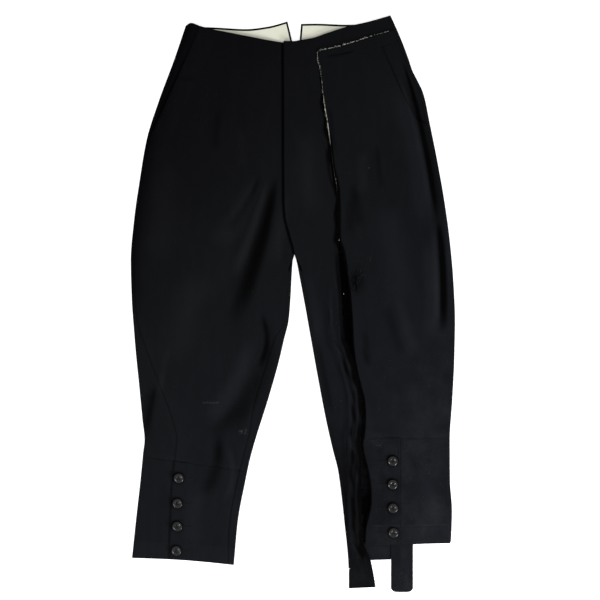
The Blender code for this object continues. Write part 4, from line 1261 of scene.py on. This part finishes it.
def add_black_frays():
    """Frayed wool threads along the raw edge of the outer part and the torn edge of the inner part."""
    draw = random.Random(11)
    paths = []
    for edge, height, side, low, high, count in (
        (slash_edge, front_left_outer_height, -1, LEFT_CUFF_SEAM, 186, 620),
        (slash_edge, cuff_left_front_height, -1, -396, LEFT_CUFF_SEAM, 240),
        (torn_edge, front_left_inner_height, 1, -466, 90, 900),
    ):
        ys = [draw.uniform(low, high) for _ in range(count)]
        places = [(float(edge(y)) - side * draw.uniform(0.2, 1.2), y) for y in ys]
        for place, top in zip(places, tops(height, places)):
            length = draw.uniform(1.0, 4.2) * (1.0 if draw.random() < 0.93 else 2.2)
            heading = draw.gauss(0 if side > 0 else 180, 42)
            start = top - draw.uniform(0.2, 1.1)
            paths.append(loose_fibre(draw, place, heading, length, start, draw.uniform(0.2, 0.9)))
    radii = [draw.uniform(0.07, 0.16) for _ in paths]
    places = [(x, y) for x, y, _ in TORN_THREADS]
    for (x, y, heading), top in zip(TORN_THREADS, tops(front_left_outer_height, places)):
        paths.append(loose_fibre(draw, (x, y), heading, draw.uniform(5, 12), top + 0.15, 0, 1.6, 7))
        radii.append(0.16)
    piece = thread_mesh("frayed_black_threads", paths, radii, 3)
    finish_piece(piece, "wool", [], black_thread)
    return piece


def slash_line(count):
    """Points along the slash's raw edge, from its outer end down to the strip's end, and the ways out."""
    across = np.linspace(158, 44, 60)
    down = np.linspace(414, CANVAS_ENDS, 120)
    xs = np.concatenate([across, slash_edge(down)])
    ys = np.concatenate([slash_across(across), down])
    travelled = np.concatenate([[0], np.cumsum(np.hypot(np.diff(xs), np.diff(ys)))])
    at = np.linspace(0, travelled[-1], count)
    line = np.stack([np.interp(at, travelled, xs), np.interp(at, travelled, ys)], axis=1)
    run = np.gradient(line, axis=0)
    run /= np.linalg.norm(run, axis=1)[:, None]
    return line, np.stack([run[:, 1], -run[:, 0]], axis=1)


def canvas_strength(y):
    """How much cream canvas shows: a broken line above, a broader one down the leg, and none at its end."""
    return np.interp(y, *zip(*CANVAS_SHOWS))


def unbroken(part):
    """1 where the canvas line is whole and 0 in its small gaps, at a part of its length from 0 to 1."""
    return np.clip(1.1 + 1.7 * np.sin(378 * part + 2 * np.sin(97 * part)), 0, 1)


def add_canvas():
    """Cream canvas that frays out of the slash: a ragged strip of uneven width, and its threads."""
    draw = random.Random(23)
    line, away = slash_line(420)
    k = np.arange(len(line))
    wave = np.sin(k * 0.37) + np.sin(k * 0.151 + 1) + 0.7 * np.sin(k * 0.83 + 2)
    whole = unbroken(k / len(line))
    wave = wave * whole + np.where(line[:, 1] > 345, 2.2, 0.8) * (whole - 1)
    width = 0.52 + 0.30 * wave + np.array([draw.uniform(-0.35, 0.35) for _ in line])
    width = np.maximum(np.clip(width, 0.06, 1.2) * canvas_strength(line[:, 1]), 0.06)
    outside = np.empty((len(line), 3, 3))
    for column, (share, lift) in enumerate(((0, 1.35), (0.5, 1.5), (1, 1.15))):
        place = line + away * (0.15 + width * share)[:, None]
        sunk = lift * np.clip(0.25 + canvas_strength(line[:, 1]), 0, 1)
        outside[:, column] = np.column_stack([place, front_left_inner_height(*place.T) + sunk])
    strip = grid_mesh("canvas_strip", outside, outside - np.array([0, 0, CANVAS_CLOTH]))
    finish_piece(strip, "canvas", ["canvas_edge"], canvas)

    line, away = slash_line(CANVAS_THREADS)
    places = line + away * np.array([draw.uniform(-0.4, 1.0) for _ in line])[:, None]
    paths = []
    kept = 0.75 * canvas_strength(places[:, 1]) ** 1.5
    kept = kept * (0.2 + 0.8 * unbroken(np.arange(len(places)) / len(places)))
    for place, out, top, share in zip(places, away, tops(front_left_inner_height, places), kept):
        if draw.random() > share:
            continue
        along = math.degrees(math.atan2(-out[0], out[1]))
        heading = along + draw.choice((0, 180)) + draw.gauss(0, 26)
        length = draw.uniform(0.8, 3.2)
        paths.append(loose_fibre(draw, place, heading, length, top + draw.uniform(1.3, 2.5), 0.3, 1.2))
    speck_tops = tops(front_left_outer_height, CREAM_SPECKS)
    for (x, y), top in zip(CREAM_SPECKS, speck_tops):
        for _ in range(3):
            start = (x + draw.uniform(-0.5, 0.5), y + draw.uniform(-0.5, 0.5))
            paths.append(loose_fibre(draw, start, draw.uniform(0, 360), 1.2, top + 0.2, 0, 1.5))
    radii = [draw.uniform(0.08, 0.15) for _ in paths]
    threads = thread_mesh("frayed_cream_threads", paths, radii, 4)
    finish_piece(threads, "canvas", [], cream_thread)
    return [strip, threads]


# Scuffs: height function, centre x, y, spread in x, y, heading in degrees, fibres
SCUFFS = [
    (front_right_height, -139, -162.5, 6.5, 0.7, 4, 60),
    (front_right_height, -131, -163.5, 4.0, 0.5, 0, 26),
    (front_right_height, -86, -211, 2.4, 1.6, 35, 34),
    (front_right_height, -79, -208, 1.6, 2.6, -60, 30),
    (cuff_left_front_height, 142, -234, 3.4, 1.4, 20, 34),
    (front_left_outer_height, 125, 224, 1.0, 1.0, 60, 6),
    (front_left_outer_height, 104, 34, 3.5, 6.0, 60, 22),
    (front_left_outer_height, 113, 52, 4.0, 6.0, 60, 14),
    (front_left_outer_height, 124, 72, 4.0, 5.0, 60, 9),
    (cuff_left_front_height, 138, -228, 6.0, 5.0, 60, 30),
    (tab_height, 181, -452, 4.5, 6.0, 60, 20),
]

# Strewn lint: height function, lowest and highest x, lowest and highest y, fibres
LINT_AREAS = [
    (front_right_height, -200, -60, -240, 60, 60),
    (front_right_height, -200, -40, 80, 380, 36),
    (front_left_outer_height, 125, 225, -200, 60, 60),
    (cuff_left_front_height, 132, 174, -385, -230, 46),
    (cuff_back_left_height, 182, 250, -385, -230, 50),
    (front_left_inner_height, 60, 80, -200, 0, 24),
    (tab_height, 166, 194, -470, -440, 24),
]


def add_lint():
    """Scuffs and lint: pale fibres in the marks, and a few strewn about."""
    draw = random.Random(5)
    paths = []
    radii = []
    for height, x, y, spread_x, spread_y, heading, count in SCUFFS:
        places = [(draw.gauss(x, spread_x), draw.gauss(y, spread_y)) for _ in range(count)]
        for place, top in zip(places, tops(height, places)):
            angle = draw.gauss(heading, 14)
            paths.append(loose_fibre(draw, place, angle, draw.uniform(1.2, 4.0), top + 0.07, 0, 0.6, 4))
            radii.append(draw.uniform(0.05, 0.10))
    for height, low_x, high_x, low_y, high_y, count in LINT_AREAS:
        places = [(draw.uniform(low_x, high_x), draw.uniform(low_y, high_y)) for _ in range(count)]
        for place, top in zip(places, tops(height, places)):
            angle = draw.uniform(0, 360)
            paths.append(loose_fibre(draw, place, angle, draw.uniform(1, 4), top + 0.07, 0, 1.5, 4))
            radii.append(draw.uniform(0.04, 0.07))
    piece = thread_mesh("lint_fibres", paths, radii, 3)
    finish_piece(piece, "wool", [], lint_grey)


def stitch_path(points, height):
    """Short stitches along a line of points, each dipping into the cloth at its ends."""
    points = np.asarray(points, dtype=float)
    runs = np.hypot(*np.diff(points, axis=0).T)
    travelled = np.concatenate([[0], np.cumsum(runs)])
    paths = []
    at = 0.0
    while at + STITCH_LENGTH < travelled[-1]:
        parts = at + STITCH_LENGTH * np.array([0, 0.18, 0.5, 0.82, 1])
        xs = np.interp(parts, travelled, points[:, 0])
        ys = np.interp(parts, travelled, points[:, 1])
        zs = height(xs, ys) + np.array([-0.22, 0.04, 0.12, 0.04, -0.22])
        paths.append(np.stack([xs, ys, zs], axis=1))
        at += STITCH_SPACING
    return paths


def line_of(x_of, low, high):
    """Points x, y where x_of gives x at y."""
    ys = np.linspace(low, high, 90)
    return np.stack([x_of(ys), ys], axis=1)


def row_of(y_of, low, high, count=90):
    """Points x, y where y_of gives y at x."""
    xs = np.linspace(low, high, count)
    return np.stack([xs, y_of(xs)], axis=1)


def add_stitches():
    """Rows of black stitches along pocket openings, plackets, cuff seams, hems and the tab."""
    half = TAB_WIDTH / 2 - TAB_STITCHES_IN
    one_side = [(half, -436), (half, -468), (half - 3, -471.5)]
    tab_outline = [(TAB_CENTRE - x, y) for x, y in one_side]
    tab_outline += [(TAB_CENTRE + x, y) for x, y in one_side[::-1]]
    rows = [
        (line_of(shifted(pocket_right, POCKET_STITCHES_IN), 286, 452), front_right_height),
        (line_of(shifted(pocket_left, -POCKET_STITCHES_IN), 312, 424), front_left_outer_height),
        (line_of(shifted(right_seam, PLACKET_STITCHES_IN), -419, -263), cuff_right_front_height),
        (line_of(level(LEFT_PLACKET - PLACKET_STITCHES_IN), -394, -224), cuff_left_front_height),
    ]
    below_right_seam = shifted(right_cuff_seam, -CUFF_STITCHES_IN)
    below_left_seam = shifted(left_cuff_seam, -CUFF_STITCHES_IN)
    over_right_hem = shifted(right_hem, HEM_TURN - HEM_STITCHES_IN)
    over_left_hem = shifted(left_hem, HEM_TURN - HEM_STITCHES_IN)
    for line, low, high, height in (
        (below_right_seam, -200, -81, cuff_right_front_height),
        (below_right_seam, -243, -204, cuff_back_right_height),
        (below_left_seam, 121, 175, cuff_left_front_height),
        (below_left_seam, 178, 254, cuff_back_left_height),
        (over_right_hem, -200, -90, cuff_right_front_height),
        (over_right_hem, -258, -204, cuff_back_right_height),
        (over_left_hem, 124, 175, cuff_left_front_height),
        (over_left_hem, 178, 256, cuff_back_left_height),
    ):
        rows.append((row_of(line, low, high), height))
    rows.append((np.array(tab_outline), tab_height))
    rows.append((row_of(level(-464.5), TAB_CENTRE - half, TAB_CENTRE + half, 12), tab_height))
    paths = []
    for points, height in rows:
        paths += stitch_path(points, height)
    piece = thread_mesh("topstitching", paths, [STITCH_RADIUS] * len(paths), 5)
    finish_piece(piece, "wool", [], black_thread)


def add_buttonholes():
    """Worked buttonholes: close stitches on both sides of the slit and a bar at its end."""
    draw = random.Random(8)
    paths = []
    radii = []
    for places, height, side in (
        (RIGHT_BUTTONS, cuff_right_front_height, 1),
        (LEFT_BUTTONS, cuff_left_front_height, -1),
    ):
        for x, y in places:
            along = x + side * (np.linspace(0, BUTTONHOLE_LENGTH, BUTTONHOLE_STITCHES) - 1.5)
            levels = height(along, y + 0 * along)
            for at, top in zip(along, levels):
                for away in (-1, 1):
                    reach = 1.75 + draw.uniform(-0.12, 0.12)
                    spots = ((0.0, 0.0), (0.6, 0.16), (1.2, 0.16), (reach, -0.15))
                    paths.append([(at, y + away * spot, top + lift) for spot, lift in spots])
                    radii.append(0.27)
            for bar in range(4):
                at = along[-1] + side * 0.45 * bar
                spots = ((-2, -0.1), (-1.2, 0.4), (1.2, 0.4), (2, -0.1))
                paths.append([(at, y + spot, levels[-1] + lift) for spot, lift in spots])
                radii.append(0.26)
    piece = thread_mesh("buttonholes", paths, radii, 5)
    finish_piece(piece, "wool", [], lighter_thread)


# Buttons

def lathe(name, profile, around):
    """A turned closed body from a profile of reach and height, which starts and ends on the axis."""
    points = []
    rings = []
    for reach, height in profile:
        count = around if reach > 0 else 1
        rings.append(range(len(points), len(points) + count))
        for k in range(count):
            angle = 2 * math.pi * k / around
            points.append((reach * math.cos(angle) * MM, reach * math.sin(angle) * MM, height * MM))
    faces = []
    for lower, upper in zip(rings, rings[1:]):
        for k in range(around):
            following = (k + 1) % around
            corners = [lower[k % len(lower)], lower[following % len(lower)]]
            corners += [upper[following % len(upper)], upper[k % len(upper)]]
            faces.append(tuple(dict.fromkeys(corners)))
    return add_object(name, new_mesh(name, points, faces))


def button_body():
    """One button's mesh with its rim, dish and four holes."""
    r = BUTTON_RADIUS
    t = BUTTON_THICK
    profile = [(0, 0), (r - 1.6, 0), (r - 0.6, 0.3), (r - 0.1, 0.9), (r, 1.5), (r - 0.1, 2.1)]
    profile.append((r - 0.3, 2.45))
    for inward, below in (
        (0.9, 0.48), (1.7, 0.17), (2.3, 0), (2.7, 0.02), (3.3, 0.2), (4.1, 0.52), (4.8, 0.84), (5.4, 1.04),
        (5.8, BUTTON_DISH), (r, BUTTON_DISH),
    ):
        profile.append((r - inward, t - below))
    body = lathe("button_blank", profile, 64)
    pins = []
    for k in range(4):
        pin = lathe("button_pin", [(0, -2), (BUTTON_HOLE, -2), (BUTTON_HOLE, 6), (0, 6)], 20)
        angle = math.pi / 4 + k * math.pi / 2
        pin.location = Vector((math.cos(angle), math.sin(angle), 0)) * BUTTON_HOLE_SPREAD * MM
        pins.append(pin)
        cut = body.modifiers.new("hole", "BOOLEAN")
        cut.object = pin
        cut.operation = "DIFFERENCE"
    bpy.context.view_layer.update()
    depsgraph = bpy.context.evaluated_depsgraph_get()
    mesh = bpy.data.meshes.new_from_object(body.evaluated_get(depsgraph))
    for thing in [body, *pins]:
        bpy.data.objects.remove(thing, do_unlink=True)
    mesh.shade_smooth()
    mesh.set_sharp_from_angle(angle=math.radians(38))
    return mesh


def add_buttons():
    """The eight buttons, each turned and tilted a little, on the places of their solids."""
    mesh = button_body()
    mesh.materials.clear()
    mesh.materials.append(horn)
    draw = random.Random(2)
    for side, places in (("right", RIGHT_BUTTONS), ("left", LEFT_BUTTONS)):
        for number, (x, y) in enumerate(places, 1):
            node = f"button_{side}_{number}"
            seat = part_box(node)[0][2] / MM + BUTTON_SEAT
            spin = draw.uniform(0, math.pi / 2)
            tilt = (draw.uniform(-0.035, 0.035), draw.uniform(-0.035, 0.035))
            button = add_object("horn_" + node, mesh)
            button.location = Vector((x, y, seat)) * MM
            button.rotation_euler = (*tilt, spin)
            finish_piece(button, "button", [node])
            add_button_thread(node, x, y, seat, spin)


def add_button_thread(node, x, y, seat, spin):
    """Black sewing thread that crosses the button between its holes."""
    paths = []
    top = seat + BUTTON_THICK - BUTTON_DISH + BUTTON_STRAND
    spread = BUTTON_HOLE_SPREAD
    for pair in (1, -1):
        for strand in (-BUTTON_STRAND, 0.0, BUTTON_STRAND):
            ends = []
            for end in (-1, 1):
                angle = spin + math.pi / 4 * (end if pair > 0 else 4 - end)
                ends.append((x + spread * math.cos(angle), y + spread * math.sin(angle)))
            (x0, y0), (x1, y1) = ends
            shift_x = strand * (y1 - y0) / (2 * spread)
            shift_y = strand * (x0 - x1) / (2 * spread)
            path = []
            for t, lift in zip((0, 0, 0.2, 0.5, 0.8, 1, 1), (-2.6, -0.3, 0.05, 0.12, 0.05, -0.3, -2.6)):
                path.append((x0 + (x1 - x0) * t + shift_x, y0 + (y1 - y0) * t + shift_y, top + lift))
            paths.append(path)
    piece = thread_mesh("thread_" + node, paths, [BUTTON_THREAD] * len(paths), 6)
    finish_piece(piece, "button", [], black_thread)


def add_studio():
    """Pale floor, soft light and a camera that looks straight down."""
    scene = bpy.context.scene
    far = FLOOR_REACH * MM
    corners = [(x, y, -FLOOR_GAP * MM) for x, y in ((-far, -far), (far, -far), (far, far), (-far, far))]
    floor = add_object("floor", new_mesh("floor", corners, [(0, 1, 2, 3)]))
    paper = Shader("pale_floor").finish(
        Base_Color=(0.95, 0.95, 0.95), Roughness=0.9, Specular_IOR_Level=0.0,
        Emission_Color=(1, 1, 1), Emission_Strength=0.6,
    )
    floor.data.materials.append(paper)

    world = bpy.data.worlds.new("studio")
    world.use_nodes = True
    background = world.node_tree.nodes["Background"].inputs
    background["Color"].default_value = (1.0, 1.0, 1.0, 1)
    background["Strength"].default_value = SKY_STRENGTH
    scene.world = world
    scene.view_settings.view_transform = "Standard"

    for name, place, width, energy in (
        ("key_light", (950, -1050, 620), 420, 20),
        ("fill_light", (-1300, -900, 1100), 300, 2.2),
        ("button_light", (-560, -640, 1000), 130, 4.9),
    ):
        lamp = bpy.data.lights.new(name, "AREA")
        lamp.shape = "SQUARE"
        lamp.size = width * MM
        lamp.energy = energy
        light = add_object(name, lamp)
        light.location = Vector(place) * MM
        light.rotation_euler = (-light.location).to_track_quat("-Z", "Y").to_euler()

    camera_data = bpy.data.cameras.new("camera")
    camera_data.sensor_width = SENSOR_WIDTH
    camera_data.lens = SENSOR_WIDTH * CAMERA_HEIGHT / PICTURE_WIDTH
    camera_data.clip_end = 100
    camera = add_object("camera", camera_data)
    camera.location = Vector((*PICTURE_CENTRE, CAMERA_HEIGHT)) * MM
    scene.camera = camera


add_studio()
cloth = add_cloth()
add_facings()
fringes = {"front_left_outer": add_canvas(), "front_left_inner": [add_black_frays()]}
add_lint()
add_stitches()
add_buttonholes()
add_buttons()
